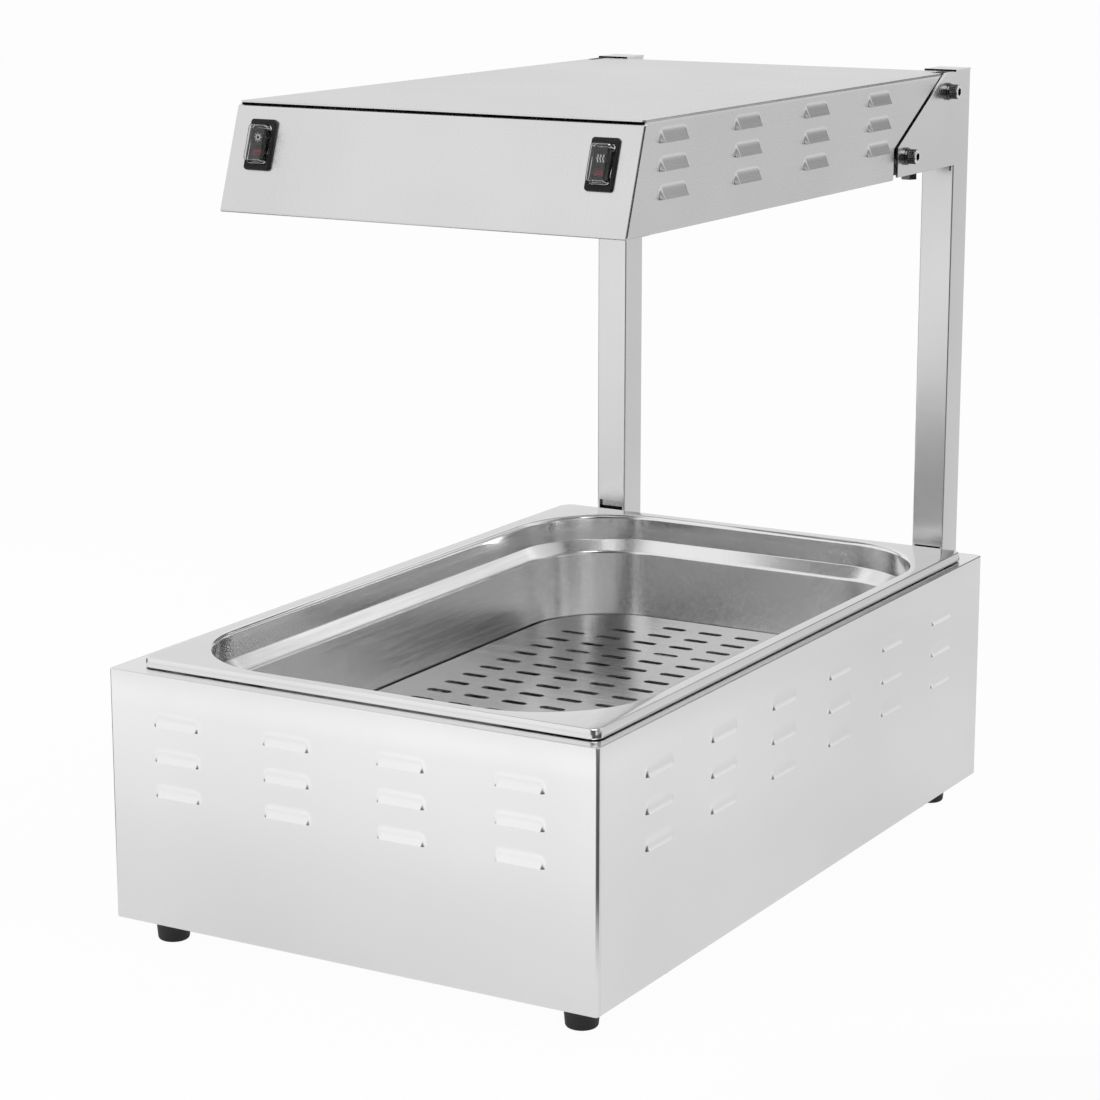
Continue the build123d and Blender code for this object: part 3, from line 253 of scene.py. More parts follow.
def quads(rows, columns, keep=None, closed=False):
    """Faces of a grid whose point (i, j) has number i * columns + j; closed joins both ends of a row."""
    i, j = np.meshgrid(np.arange(rows - 1), np.arange(columns if closed else columns - 1), indexing="ij")
    k = (j + 1) % columns
    faces = np.stack([i * columns + j, i * columns + k, (i + 1) * columns + k, (i + 1) * columns + j], -1)
    return faces[keep] if keep is not None else faces.reshape(-1, 4)


class Stock:
    """Collects points and faces of one piece before it becomes a mesh."""

    def __init__(self):
        self.points = []
        self.faces = []
        self.count = 0

    def add(self, points, faces, caps=()):
        """Adds an array of points, an array of faces numbered from zero, and flat caps with more corners."""
        points = np.asarray(points, float).reshape(-1, 3)
        self.points.append(points)
        self.faces += (faces + self.count).tolist()
        self.faces += [(cap + self.count).tolist() for cap in caps]
        self.count += len(points)

    def grid(self, points, keep=None, flip=False):
        """Adds a grid of points, rows by columns; keep says which of its faces are there."""
        rows, columns = points.shape[:2]
        self.add(points, quads(rows, columns, keep)[:, ::-1 if flip else 1])

    def loops(self, loops, start=True, flip=False):
        """Adds closed loops of equal length joined in order, with a flat end and, if wanted, a flat start."""
        rows, columns = loops.shape[:2]
        turn = -1 if flip else 1
        first = np.arange(columns)
        last = first + (rows - 1) * columns
        caps = [first[::-turn], last[::turn]] if start else [last[::turn]]
        self.add(loops, quads(rows, columns, closed=True)[:, ::turn], caps)

    def make(self, name, finish, body, nodes=(), wall=0.0, merge=True):
        """Turns the stock into one object that rides on a body and stands for CAD nodes."""
        mesh = bpy.data.meshes.new(name)
        mesh.from_pydata((np.concatenate(self.points) * MM).tolist(), [], self.faces)
        if merge:
            work = bmesh.new()
            work.from_mesh(mesh)
            bmesh.ops.remove_doubles(work, verts=work.verts, dist=MERGE_GAP_M)
            bmesh.ops.dissolve_degenerate(work, edges=work.edges, dist=SLIVER_M)
            work.to_mesh(mesh)
            work.free()
        mesh.materials.append(FINISH[finish])
        mesh.polygons.foreach_set("use_smooth", np.ones(len(mesh.polygons), bool))
        piece = bpy.data.objects.new(name, mesh)
        bpy.context.scene.collection.objects.link(piece)
        if wall:
            sheet = piece.modifiers.new("wall", "SOLIDIFY")
            sheet.thickness = wall * MM
            sheet.offset = -1.0
            sheet.use_even_offset = True
            whole = piece.evaluated_get(bpy.context.evaluated_depsgraph_get())
            piece.data = bpy.data.meshes.new_from_object(whole)
            piece.modifiers.clear()
        piece.data.set_sharp_from_angle(angle=SHARP)
        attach(piece, body)
        if nodes:
            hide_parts(*nodes)


def bend_path(corners, radii):
    """Points and outward normals of an open path in a plane, each inner corner rounded by an arc.

    An arc of radius r is tangent to both runs at r * tan(half the turning angle) from the corner.
    The normal is the run's direction turned a quarter to the right."""
    corners = np.asarray(corners, float)
    steps = np.diff(corners, axis=0)
    runs = steps / np.linalg.norm(steps, axis=1)[:, None]
    right = np.stack([runs[:, 1], -runs[:, 0]], 1)
    points = [corners[0]]
    normals = [right[0]]
    for k in range(1, len(corners) - 1):
        a, b = runs[k - 1], runs[k]
        angle = np.arctan2(a[0] * b[1] - a[1] * b[0], a @ b)
        reach = radii[k - 1] * np.tan(abs(angle) / 2)
        centre = corners[k] - a * reach + np.sign(angle) * radii[k - 1] * -right[k - 1]
        turns = np.linspace(0, angle, BEND_STEPS + 1)
        spin = np.stack([np.cos(turns), np.sin(turns)], 1)
        out = np.stack([
            right[k - 1][0] * spin[:, 0] - right[k - 1][1] * spin[:, 1],
            right[k - 1][0] * spin[:, 1] + right[k - 1][1] * spin[:, 0],
        ], 1)
        points.extend(centre + np.sign(angle) * radii[k - 1] * out)
        normals.extend(out)
    points.append(corners[-1])
    normals.append(right[-1])
    return np.array(points), np.array(normals)


def resample(points, normals, lanes):
    """Adds points to a path's longer straight runs.

    Each lane is (axis that the run follows, its place on the other axis, values along the axis)."""
    length = np.concatenate([[0], np.cumsum(np.linalg.norm(np.diff(points, axis=0), axis=1))])
    extra = [length]
    for axis, place, values in lanes:
        for k in range(len(points) - 1):
            a, b = points[k], points[k + 1]
            middle = (a[1 - axis] + b[1 - axis]) / 2
            if abs(middle - place) > TOUCH or abs(b[axis] - a[axis]) < SHORT_RUN:
                continue
            share = (np.asarray(values) - a[axis]) / (b[axis] - a[axis])
            share = share[(share > 0.001) & (share < 0.999)]
            extra.append(length[k] + share * (length[k + 1] - length[k]))
    at = np.unique(np.round(np.concatenate(extra), 4))
    out = np.stack([np.interp(at, length, points[:, k]) for k in range(2)], 1)
    way = np.stack([np.interp(at, length, normals[:, k]) for k in range(2)], 1)
    return out, way / np.linalg.norm(way, axis=1)[:, None]


def edge_fall(distance):
    """How far a sheet's face falls back within a small radius of its edge: a quarter circle."""
    share = np.clip(1 - distance / SHEET_EDGE_R, 0, 1)
    return SHEET_EDGE_R * (1 - np.sqrt(1 - share ** 2))


def rounded_loop(width, length, radius, arc, run):
    """Closed rounded rectangle: each straight run divided evenly, each corner a quarter circle."""
    half = np.array([width / 2 - radius, length / 2 - radius])
    turns = np.linspace(0, np.pi / 2, arc + 1)
    share = np.linspace(0, 1, run + 1)[1:-1, None]
    parts = []
    signs = np.array([(1, 1), (-1, 1), (-1, -1), (1, -1)])
    for k, sign in enumerate(signs):
        spin = turns + k * np.pi / 2
        corner = half * sign + radius * np.stack([np.cos(spin), np.sin(spin)], 1)
        following = signs[(k + 1) % 4]
        after = half * following + radius * np.array([np.cos(spin[-1]), np.sin(spin[-1])])
        parts += [corner, corner[-1] + share * (after - corner[-1])]
    return np.concatenate(parts)


def stack(levels):
    """Rounded rectangles (width, height, corner radius, z) as loops."""
    loops = []
    for width, height, radius, z in levels:
        loop = rounded_loop(width, height, radius, arc=6, run=2)
        loops.append(np.column_stack([loop, np.full(len(loop), z)]))
    return np.array(loops)


def turned(stock, profile, centre, axis, sides):
    """Profile of (radius, distance along the axis) points turned about an axis through a centre."""
    spin = np.linspace(0, 2 * np.pi, sides + 1)[:-1]
    radius, along = np.asarray(profile, float).T[:, :, None]
    ring = np.stack([radius * np.cos(spin), radius * np.sin(spin), np.repeat(along, sides, 1)], -1)
    stock.loops(np.roll(ring, axis - 2, axis=-1) + np.asarray(centre))


# Louvres

def louvre_height(along, up, columns, rows, hood):
    """Height of the pressed louvres over a sheet.

    t runs from 0 at a hood's open lower edge to 1 at its top, and e from 0 in its middle to 1 at each end.
    The height is a straight slope 1 - t that ends in a fillet, times the smooth step 1 - e^2 (3 - 2 e), so
    the face is flat, and the ends are steep at the lower edge and fade out towards the top. From a third of
    the way up, the ends draw in along a quarter of an ellipse, which rounds the upper corners."""
    out, foot, tip = hood
    height = np.zeros(np.broadcast(along, up).shape)
    for z in rows:
        t = np.clip((up - z) / LOUVRE_RISE, 0, 1)
        q = 1 - t
        half = LOUVRE_HALF - LOUVRE_BOW * (1 - np.sqrt(1 - np.clip(1.5 * t - 0.5, 0, 1) ** 2))
        slope = np.where(q < foot, q ** 2 / (2 * foot), q - foot / 2) / (1 - foot / 2)
        live = (up >= z - 1e-6) & (up <= z + LOUVRE_RISE)
        for c in columns:
            e = np.clip((np.abs(along - c) - half + tip) / tip, 0, 1)
            height = np.maximum(height, live * out * slope * (1 - e ** 2 * (3 - 2 * e)))
    return height


def louvre_steps(columns, tip):
    """Positions across louvres: close together at each end, wider in the middle, with a guard beside them."""
    flat = LOUVRE_HALF - LOUVRE_BOW - tip
    end = np.linspace(flat, LOUVRE_HALF, 22)
    middle = np.linspace(-flat, flat, 5)
    guard = LOUVRE_HALF + LOUVRE_GUARD
    steps = np.concatenate([-end, middle, end, [-guard, guard]])
    return np.unique(np.round(np.concatenate([steps + c for c in columns]), 4))


def louvre_rows(low, high, rows):
    """Heights of a louvred sheet's rows: each lower edge twice, a guard above and below each hood.

    The second copy of a lower edge, told by the second result, belongs to the hood above it."""
    rise = np.array([0, 0, 0.7, 1.6, 2.7, 4.0, 5.2, 6.4, 7.4, 8.2, 8.8, 9.4, LOUVRE_RISE])
    steps = np.concatenate([[-LOUVRE_GUARD], rise, [LOUVRE_RISE + LOUVRE_GUARD]])
    edge = np.array([0.0, SHEET_EDGE_MIDDLE, SHEET_EDGE_R])
    heights = np.sort(np.concatenate([low + edge, high - edge] + [z + steps for z in rows]))
    upper = np.concatenate([[False], np.diff(heights) < SAME])
    return heights, upper


def flat_lips(z, upper, rows):
    """Points on the flat lip below each cut."""
    return np.isin(np.round(z, 3), np.round(rows, 3)) & ~upper


def double_cuts(points, normals, rows):
    """Repeats every side point that lies on a louvre's lower edge, and says which copy belongs to the hood.

    The right side is walked upwards and the left side downwards, so the hood's copy is second, then first."""
    cut = np.isin(np.round(points[:, 1], 3), np.round(rows, 3)) & (np.abs(points[:, 0]) > GANTRY_X - TOUCH)
    order = np.repeat(np.arange(len(points)), np.where(cut, 2, 1))
    second = np.concatenate([[False], order[1:] == order[:-1]])
    points, normals, cut = points[order], normals[order], cut[order]
    upper = cut & np.where(points[:, 0] > 0, second, ~second)
    return points, normals, upper


# Materials

def nodes_of(name):
    """New node material, its node tree and its shader."""
    material = bpy.data.materials.new(name)
    material.use_nodes = True
    tree = material.node_tree
    return material, tree, tree.nodes["Principled BSDF"]


def combine(tree, operation, first, second):
    """Result of a Math node on two values, the second of which may be a plain number."""
    node = tree.nodes.new("ShaderNodeMath")
    node.operation = operation
    tree.links.new(first, node.inputs[0])
    if isinstance(second, float):
        node.inputs[1].default_value = second
    else:
        tree.links.new(second, node.inputs[1])
    return node.outputs["Value"]


def place_along(tree, axis):
    """Object coordinate along one axis, in metres."""
    parts = tree.nodes.new("ShaderNodeSeparateXYZ")
    tree.links.new(tree.nodes.new("ShaderNodeTexCoord").outputs["Object"], parts.inputs["Vector"])
    return parts.outputs[axis]


def pattern(tree, scale, detail, rough=0.55, stretch=(1, 1, 1)):
    """Noise on Object coordinates, stretched by a Mapping node."""
    where = tree.nodes.new("ShaderNodeTexCoord")
    mapping = tree.nodes.new("ShaderNodeMapping")
    mapping.inputs["Scale"].default_value = stretch
    noise = tree.nodes.new("ShaderNodeTexNoise")
    noise.inputs["Scale"].default_value = scale
    noise.inputs["Detail"].default_value = detail
    noise.inputs["Roughness"].default_value = rough
    tree.links.new(where.outputs["Object"], mapping.inputs["Vector"])
    tree.links.new(mapping.outputs["Vector"], noise.inputs["Vector"])
    return noise.outputs["Fac"]


def spread(tree, value, low, high, start=0.3, stop=0.7, smooth=False):
    """Maps a value from start..stop to low..high, evenly or with a smooth step."""
    node = tree.nodes.new("ShaderNodeMapRange")
    if smooth:
        node.interpolation_type = "SMOOTHSTEP"
    for key, number in (("From Min", start), ("From Max", stop), ("To Min", low), ("To Max", high)):
        node.inputs[key].default_value = number
    tree.links.new(value, node.inputs["Value"])
    return node.outputs["Result"]


def tint(tree, value, first, second):
    """Blends two colours by a pattern."""
    node = tree.nodes.new("ShaderNodeMix")
    node.data_type = "RGBA"
    node.inputs["A"].default_value = (*first, 1)
    node.inputs["B"].default_value = (*second, 1)
    tree.links.new(value, node.inputs["Factor"])
    return node.outputs["Result"]


def bump(tree, shader, value, strength, distance):
    """Fine relief from a pattern."""
    node = tree.nodes.new("ShaderNodeBump")
    node.inputs["Strength"].default_value = strength
    node.inputs["Distance"].default_value = distance
    tree.links.new(value, node.inputs["Height"])
    tree.links.new(node.outputs["Normal"], shader.inputs["Normal"])


def grey(level):
    """Neutral colour."""
    return (level, level, level)


def steel(name, tone, rough, grain, depth, swing, cloud=7.0, polish=None):
    """Stainless sheet: fine grain stretched along one direction, with slow clouds in tone and gloss.

    polish is (low, high, less): between these heights the roughness falls by so much."""
    material, tree, shader = nodes_of(name)
    lines = pattern(tree, 1.0, 4.0, 0.65, grain)
    clouds = pattern(tree, cloud, 2.0)
    shader.inputs["Metallic"].default_value = 1.0
    dark = tuple(0.95 * c for c in tone)
    light = tuple(min(1.0, 1.03 * c) for c in tone)
    tree.links.new(tint(tree, spread(tree, clouds, 0, 1), dark, light), shader.inputs["Base Color"])
    gloss = spread(tree, lines, rough - swing, rough + swing)
    if polish:
        low, high, less = polish
        smoother = spread(tree, place_along(tree, "Z"), 0, less, low * MM, high * MM)
        gloss = combine(tree, "SUBTRACT", gloss, smoother)
    tree.links.new(gloss, shader.inputs["Roughness"])
    bump(tree, shader, lines, depth, 0.0004)
    return material


def two_tone(name, axis, split, near, beyond):
    """Metal in two tones, told apart by the distance from the middle plane across an axis.

    It serves a screw's knurled side and turned end. On the tab behind each foot slit it is painted shade:
    near black on the wall, grey on the fold. On the post caps it is a painted shadow gap: near black along
    the front edge."""
    material, tree, shader = nodes_of(name)
    out = tree.nodes.new("ShaderNodeMath")
    out.operation = "ABSOLUTE"
    tree.links.new(place_along(tree, axis), out.inputs[0])
    end = spread(tree, out.outputs["Value"], 0, 1, split * MM, (split + SHADE_BLEND) * MM)
    tree.links.new(tint(tree, end, grey(near), grey(beyond)), shader.inputs["Base Color"])
    shader.inputs["Metallic"].default_value = 1.0
    grit = pattern(tree, 900.0, 2.0)
    tree.links.new(spread(tree, grit, 0.2, 0.34), shader.inputs["Roughness"])
    bump(tree, shader, grit, 0.03, 0.0003)
    return material


def moulded(name, first, second, rough, grain, depth, shine=0.5):
    """Moulded plastic, rubber or ceramic: two close tones and a fine pebbled skin."""
    material, tree, shader = nodes_of(name)
    skin = pattern(tree, grain, 3.0)
    tree.links.new(tint(tree, spread(tree, skin, 0, 1), first, second), shader.inputs["Base Color"])
    tree.links.new(spread(tree, skin, rough - 0.05, rough + 0.08), shader.inputs["Roughness"])
    shader.inputs["Specular IOR Level"].default_value = shine
    bump(tree, shader, skin, depth, 0.0003)
    return material


def clear(name, tone, rough, index, through=1.0):
    """Clear moulding or quartz with slight waves in its surface."""
    material, tree, shader = nodes_of(name)
    waves = pattern(tree, 90.0, 2.0)
    shader.inputs["Base Color"].default_value = (*tone, 1)
    shader.inputs["Transmission Weight"].default_value = through
    shader.inputs["IOR"].default_value = index
    tree.links.new(spread(tree, waves, rough, rough + 0.06), shader.inputs["Roughness"])
    bump(tree, shader, waves, 0.03, 0.0004)
    return material


PAN_POLISH = (RIM_Z - POLISH_DROP[0], RIM_Z - POLISH_DROP[1], POLISH_LESS)
FINISH_PLAN = {
    "casing_steel": (steel, grey(0.86), 0.20, (60, 60, 8), 0.012, 0.03, 4.0),
    "canopy_steel": (steel, grey(0.71), 0.27, (900, 12, 900), 0.005, 0.03),
    "canopy_front_steel": (steel, grey(0.69), 0.27, (900, 60, 14), 0.016, 0.04),
    "post_steel": (steel, grey(0.75), 0.26, (900, 900, 12), 0.005, 0.012),
    "pan_steel": (steel, grey(0.78), 0.19, (420, 14, 420), 0.02, 0.05, 9.0, PAN_POLISH),
    "drain_steel": (steel, grey(0.63), 0.22, (12, 700, 700), 0.05, 0.06, 9.0),
    "inner_steel": (steel, grey(0.52), 0.42, (60, 60, 60), 0.05, 0.1, 22.0),
    "reflector_sheet": (steel, (0.84, 0.84, 0.85), 0.16, (400, 10, 400), 0.02, 0.04),
    "fastener_steel": (steel, (0.45, 0.45, 0.46), 0.22, (500, 500, 500), 0.02, 0.05, 60.0),
    "screw_steel": (two_tone, "X", SCREW_X + HEAD_H - HEAD_SHADE, 0.10, 0.82),
    "dark_fastener": (steel, grey(0.13), 0.2, (500, 500, 500), 0.02, 0.05, 60.0),
    "deck_steel": (steel, grey(0.86), 0.20, (60, 60, 8), 0.008, 0.03, 4.0),
    # Painted shade: the tab's wall behind the foot slit is near black, its fold grey
    "tab_steel": (two_tone, "Z", FOOT_SLIT[-1][1] - TAB_SHADE_DROP, 0.01, 0.5),
    # Painted shadow: near black along the post cap's front edge, steel grey behind
    "cap_steel": (two_tone, "Y", REAR_Y + CAP_SHADE, 0.01, 0.78),
    "guard_wire": (steel, grey(0.68), 0.20, (400, 400, 400), 0.02, 0.05, 40.0),
    "element_sheath": (steel, (0.30, 0.28, 0.26), 0.45, (200, 200, 200), 0.05, 0.08, 30.0),
    "cutout_metal": (steel, grey(0.64), 0.35, (300, 300, 300), 0.04, 0.06, 40.0),
    "quartz": (clear, (0.93, 0.93, 0.90), 0.22, 1.46, 0.85),
    # Painted shade: near-black brackets so the gap beside each gusset reads as deep shade
    "bracket_black": (moulded, grey(0.02), grey(0.035), 0.5, 300, 0.05),
    "white_ceramic": (moulded, (0.80, 0.79, 0.74), (0.86, 0.85, 0.81), 0.45, 260, 0.06),
    "black_rubber": (moulded, grey(0.012), grey(0.028), 0.55, 420, 0.12),
    "black_plastic": (moulded, grey(0.006), grey(0.012), 0.36, 900, 0.08, 0.22),
    "rocker_plastic": (moulded, grey(0.006), grey(0.012), 0.24, 500, 0.03, 0.2),
    "clear_plastic": (clear, grey(0.97), 0.04, 1.36),
    "red_lens": (moulded, (0.06, 0.006, 0.010), (0.14, 0.012, 0.022), 0.2, 700, 0.03, 0.3),
    "white_mark": (moulded, grey(0.66), grey(0.78), 0.5, 900, 0.03),
    "heater_coil": (steel, (0.36, 0.33, 0.30), 0.4, (200, 200, 200), 0.03, 0.06, 30.0),
}
FINISH = {name: maker(name, *settings) for name, (maker, *settings) in FINISH_PLAN.items()}
NODE_FINISH = {
    # Hanger brackets are black as painted shade seen through the gusset gap
    "hanger_brackets": "bracket_black",
    "gusset_washers": "dark_fastener",
    "spring_washers": "dark_fastener",
    "hex_bolts": "dark_fastener",
    "hex_washers": "dark_fastener",
    "deck": "deck_steel",
    # Post caps carry a painted shadow gap along their front edge
    "post_caps": "cap_steel",
}
for entry in frame["record"]["subparts"]:
    solid = frame["nodes"][entry["node"]]
    solid.data.materials.clear()
    solid.data.materials.append(FINISH[NODE_FINISH.get(entry["node"], entry["material_slot"])])


# Casing and pan

def casing_wall(name, node, corners, bend_r, axis, places, columns):
    """Casing sheet: a bent path in plan carried up, with louvres on some runs and soft upper and lower edges.

    The louvred runs follow one axis, at the given places on the other axis."""
    points, normals = bend_path(corners, [bend_r] * 2)
    steps = louvre_steps(columns, CASE_HOOD[2])
    points, normals = resample(points, normals, [(axis, place, steps) for place in places])
    louvred = np.any(np.abs(points[:, 1 - axis] - np.array(places)[:, None]) < TOUCH, axis=0)
    heights, upper = louvre_rows(BASE_Z, DECK_Z, CASE_ROWS)
    lift = louvre_height(points[None, :, axis], heights[:, None], columns, CASE_ROWS, CASE_HOOD)
    lift *= ~flat_lips(heights, upper, CASE_ROWS)[:, None] & louvred[None]
    lift -= edge_fall(np.minimum(heights - BASE_Z, DECK_Z - heights))[:, None]
    plan = points[None] + lift[..., None] * normals[None]
    full = np.dstack([plan, np.broadcast_to(heights[:, None], lift.shape)])
    stock = Stock()
    stock.grid(full, keep=np.repeat(~upper[1:, None], len(points) - 1, axis=1))
    stock.make(name, "casing_steel", "base", [node], wall=CASE_WALL)


def casing():
    """Front sheet bent round both corners, butted against the sides and back, which are one bent sheet."""
    deep = FRONT_Y + FRONT_RETURN
    front = [(-SIDE_X, deep), (-SIDE_X, FRONT_Y), (SIDE_X, FRONT_Y), (SIDE_X, deep)]
    casing_wall("casing_front", "front_panel", front, FRONT_BEND_R, 0, [FRONT_Y], FRONT_COLUMNS)
    edge = deep + BUTT_GAP
    wrap = [(SIDE_X, edge), (SIDE_X, REAR_Y), (-SIDE_X, REAR_Y), (-SIDE_X, edge)]
    casing_wall("casing_wrap_sheet", "casing_wrap", wrap, REAR_BEND_R, 1, [-SIDE_X, SIDE_X], SIDE_COLUMNS)


def pan_section():
    """Pan's section as (inset from the flange's edge, height, corner radius), from the skirt to the floor.

    A path with filleted corners: curled skirt, rim, flange, lip, stacking ledge, tapering wall and floor.
    The rim's corners are small; from the lip inwards the corner radius is the opening's less the inset."""
    corners = [
        (SKIRT_CURL, -SKIRT_H), (0.0, -SKIRT_H), (SKIRT_LEAN, 0.0), (FLANGE_W, 0.0), (FLANGE_W, -LIP_DROP),
        (LEDGE_IN, -LEDGE_DROP), (WALL_FOOT_IN, -PAN_DEPTH), (FLOOR_IN, -PAN_DEPTH),
    ]
    path, _ = bend_path(corners, PAN_FILLETS)
    inset, drop = path.T
    rim_radius = RIM_CORNER_R - RIM_CORNER_FALL * inset
    radius = np.where(inset < RIM_IN, rim_radius, PAN_CORNER_R + FLANGE_W - inset)
    return zip(inset, RIM_Z + drop, radius)


def pan():
    """Lift-out pan: rounded rectangles at each point of the section joined into one sheet with a wall."""
    loops = []
    for inset, z, radius in pan_section():
        loop = rounded_loop(PAN_W - 2 * inset, PAN_L - 2 * inset, radius, arc=20, run=8)
        loops.append(np.column_stack([loop + (PAN_X, PAN_Y), np.full(len(loop), z)]))
    stock = Stock()
    stock.loops(np.array(loops), start=False)
    stock.make("pan_shell", "pan_steel", "pan", ["gn_pan"], wall=PAN_WALL)


# Posts

def post_channel(side, name):
    """Lipped channel: its bent outline carried up.

    The slit at its foot and the relief cut below the gusset are runs left out between two heights."""
    x0, x1 = GANTRY_X - POST_W, GANTRY_X
    corners = [
        (x1 - POST_LIP, POST_REAR_Y), (x1, POST_REAR_Y), (x1, REAR_Y), (x0, REAR_Y), (x0, POST_REAR_Y),
        (x0 + POST_LIP, POST_REAR_Y),
    ]
    points, normals = bend_path(corners, [POST_BEND_R] * 4)
    slit_x = (x0 + SLIT_NEAR, x1 - SLIT_FAR)
    relief_x = (x1 - RELIEF_IN, x1 - SLIT_FAR)
    points, _ = resample(points, normals, [(0, REAR_Y, [*slit_x, relief_x[0]])])
    foot_row = POST_LOW_Z + POST_FOOT_ROW
    rows = [POST_LOW_Z, foot_row, *FOOT_SLIT[side], GUSSET_Z - RELIEF_H, GUSSET_Z, POST_TOP_Z]
    heights = np.array(rows)
    full = np.dstack([
        np.broadcast_to(points[None], (len(heights), *points.shape)),
        np.broadcast_to(heights[:, None], (len(heights), len(points))),
    ])
    middle_x, middle_y = ((points[1:] + points[:-1]) / 2).T
    front = np.abs(middle_y - REAR_Y) < TOUCH
    keep = np.ones((len(heights) - 1, len(points) - 1), bool)
    for top, (low, high) in ((FOOT_SLIT[side][1], slit_x), (GUSSET_Z, relief_x)):
        keep[rows.index(top) - 1] &= ~(front & (middle_x > low) & (middle_x < high))
    stock = Stock()
    stock.grid(full * (side, 1, 1), keep=keep, flip=side > 0)
    stock.make(name + "_channel", "post_steel", "base", [name], wall=POST_WALL)


def post_gusset(side, name):
    """Gusset in the plane of the post's outer wall: a plate with a small chamfer on the outside."""
    edge = REAR_Y + POST_BEND_R
    plate = np.array([
        (edge, GUSSET_Z), (GUSSET_Y, GUSSET_Z), (GUSSET_Y, GUSSET_NOSE_Z), (GUSSET_TOP_Y, POST_TOP_Z),
        (edge, POST_TOP_Z),
    ])
    inwards = np.array([(0, 1), (1, 1), (1, -0.5), (0.8, -1), (0, -1)])
    levels = (
        (GANTRY_X, plate + GUSSET_CHAMFER * inwards),
        (GANTRY_X - GUSSET_CHAMFER, plate),
        (GANTRY_X - POST_WALL, plate),
    )
    loops = np.array([np.column_stack([np.full(len(plate), x), outline]) for x, outline in levels])
    stock = Stock()
    stock.loops(loops * (side, 1, 1), flip=side < 0)
    stock.make(name + "_gusset", "post_steel", "base", ())


def post_tab(side, name):
    """Strip behind the slit at the foot: its side view, folded back at the top, carried across."""
    low, high = FOOT_SLIT[side][0] - TAB_LAP, FOOT_SLIT[side][1] + TAB_LAP
    strip, _ = bend_path([(TAB_Y, low), (TAB_Y, high), (TAB_Y + TAB_FOLD, high)], [TAB_BEND_R])
    ends = (GANTRY_X - POST_W + TAB_SIDE_GAP, GANTRY_X - TAB_SIDE_GAP)
    across = np.broadcast_to(ends, (len(strip), 2))
    back, up = np.repeat(strip.T[:, :, None], 2, axis=2)
    stock = Stock()
    stock.grid(np.stack([across, back, up], -1) * (side, 1, 1), flip=side < 0)
    # The tab's finish is painted shade: near black low on the wall, so the slit reads dark
    stock.make(name + "_tab", "tab_steel", "base", (), wall=TAB_WALL)


# Canopy

def canopy_shell():
    """Roof and sides: one bent path across carried back, each row clipped to its own front and rear edge.

    On the sides the front edge leans with the front panel, and the rear edge follows the gusset at a gap."""
    corners = [
        (SHELF_X, CANOPY_Z), (GANTRY_X, CANOPY_Z), (GANTRY_X, CANOPY_TOP_Z),
        (-GANTRY_X, CANOPY_TOP_Z), (-GANTRY_X, CANOPY_Z), (-SHELF_X, CANOPY_Z),
    ]
    points, normals = bend_path(corners, [SHELF_BEND_R, ROOF_BEND_R, ROOF_BEND_R, SHELF_BEND_R])
    heights, upper = louvre_rows(SIDE_LOW_Z, SIDE_HIGH_Z, CANOPY_ROWS)
    heights = heights[~upper]
    steps = np.array(ROOF_STEP_X)
    points, normals = resample(points, normals, [
        (1, GANTRY_X, heights), (1, -GANTRY_X, heights), (0, CANOPY_TOP_Z, [*-steps, *steps]),
    ])
    points, normals, upper = double_cuts(points, normals, CANOPY_ROWS)
    x, z = points.T
    on_side = np.abs(x) > GANTRY_X - TOUCH
    roof = z > CANOPY_TOP_Z - TOUCH
    shelf = z < CANOPY_Z + TOUCH
    roof_y = CANOPY_TOP_Y - ROOF_LAP
    low_y = np.where(roof, roof_y, CANOPY_Y + SIDE_LAP + (z - CANOPY_Z) * LEAN)
    low_y = np.where(shelf, SHELF_Y, low_y)
    edge = GUSSET_Y - GUSSET_GAP
    run = (GUSSET_TOP_Y - GUSSET_Y) / (POST_TOP_Z - GUSSET_NOSE_Z)
    high_y = edge + run * np.clip(z - GUSSET_NOSE_Z, 0, None)
    high_y = np.where(roof & (np.abs(x) < steps.mean()), CANOPY_REAR_Y, high_y)
    columns = np.unique(np.concatenate([
        louvre_steps(CANOPY_COLUMNS, CANOPY_HOOD[2]), np.linspace(CANOPY_Y, CANOPY_REAR_Y, ROOF_BAYS),
        [roof_y, SHELF_Y, edge],
    ]))
    y = np.clip(columns[None, :], low_y[:, None], high_y[:, None])
    lift = louvre_height(y, z[:, None], CANOPY_COLUMNS, CANOPY_ROWS, CANOPY_HOOD)
    lift *= (on_side & ~flat_lips(z, upper, CANOPY_ROWS))[:, None]
    out_x, out_z = normals.T[:, :, None]
    full = np.stack([x[:, None] + lift * out_x, y, z[:, None] + lift * out_z], -1)
    cut = (np.abs(np.diff(z)) < SAME) & (np.abs(np.diff(x)) < SAME)
    middle = np.abs(x[1:] + x[:-1]) / 2
    step = roof[1:] & roof[:-1] & (middle > steps[0]) & (middle < steps[1])
    stock = Stock()
    stock.grid(full, keep=np.repeat(~(cut | step)[:, None], len(columns) - 1, axis=1))
    name = "canopy_shell_sheet"
    stock.make(name, "canopy_steel", "base", ["canopy_shell"], wall=CANOPY_WALL)


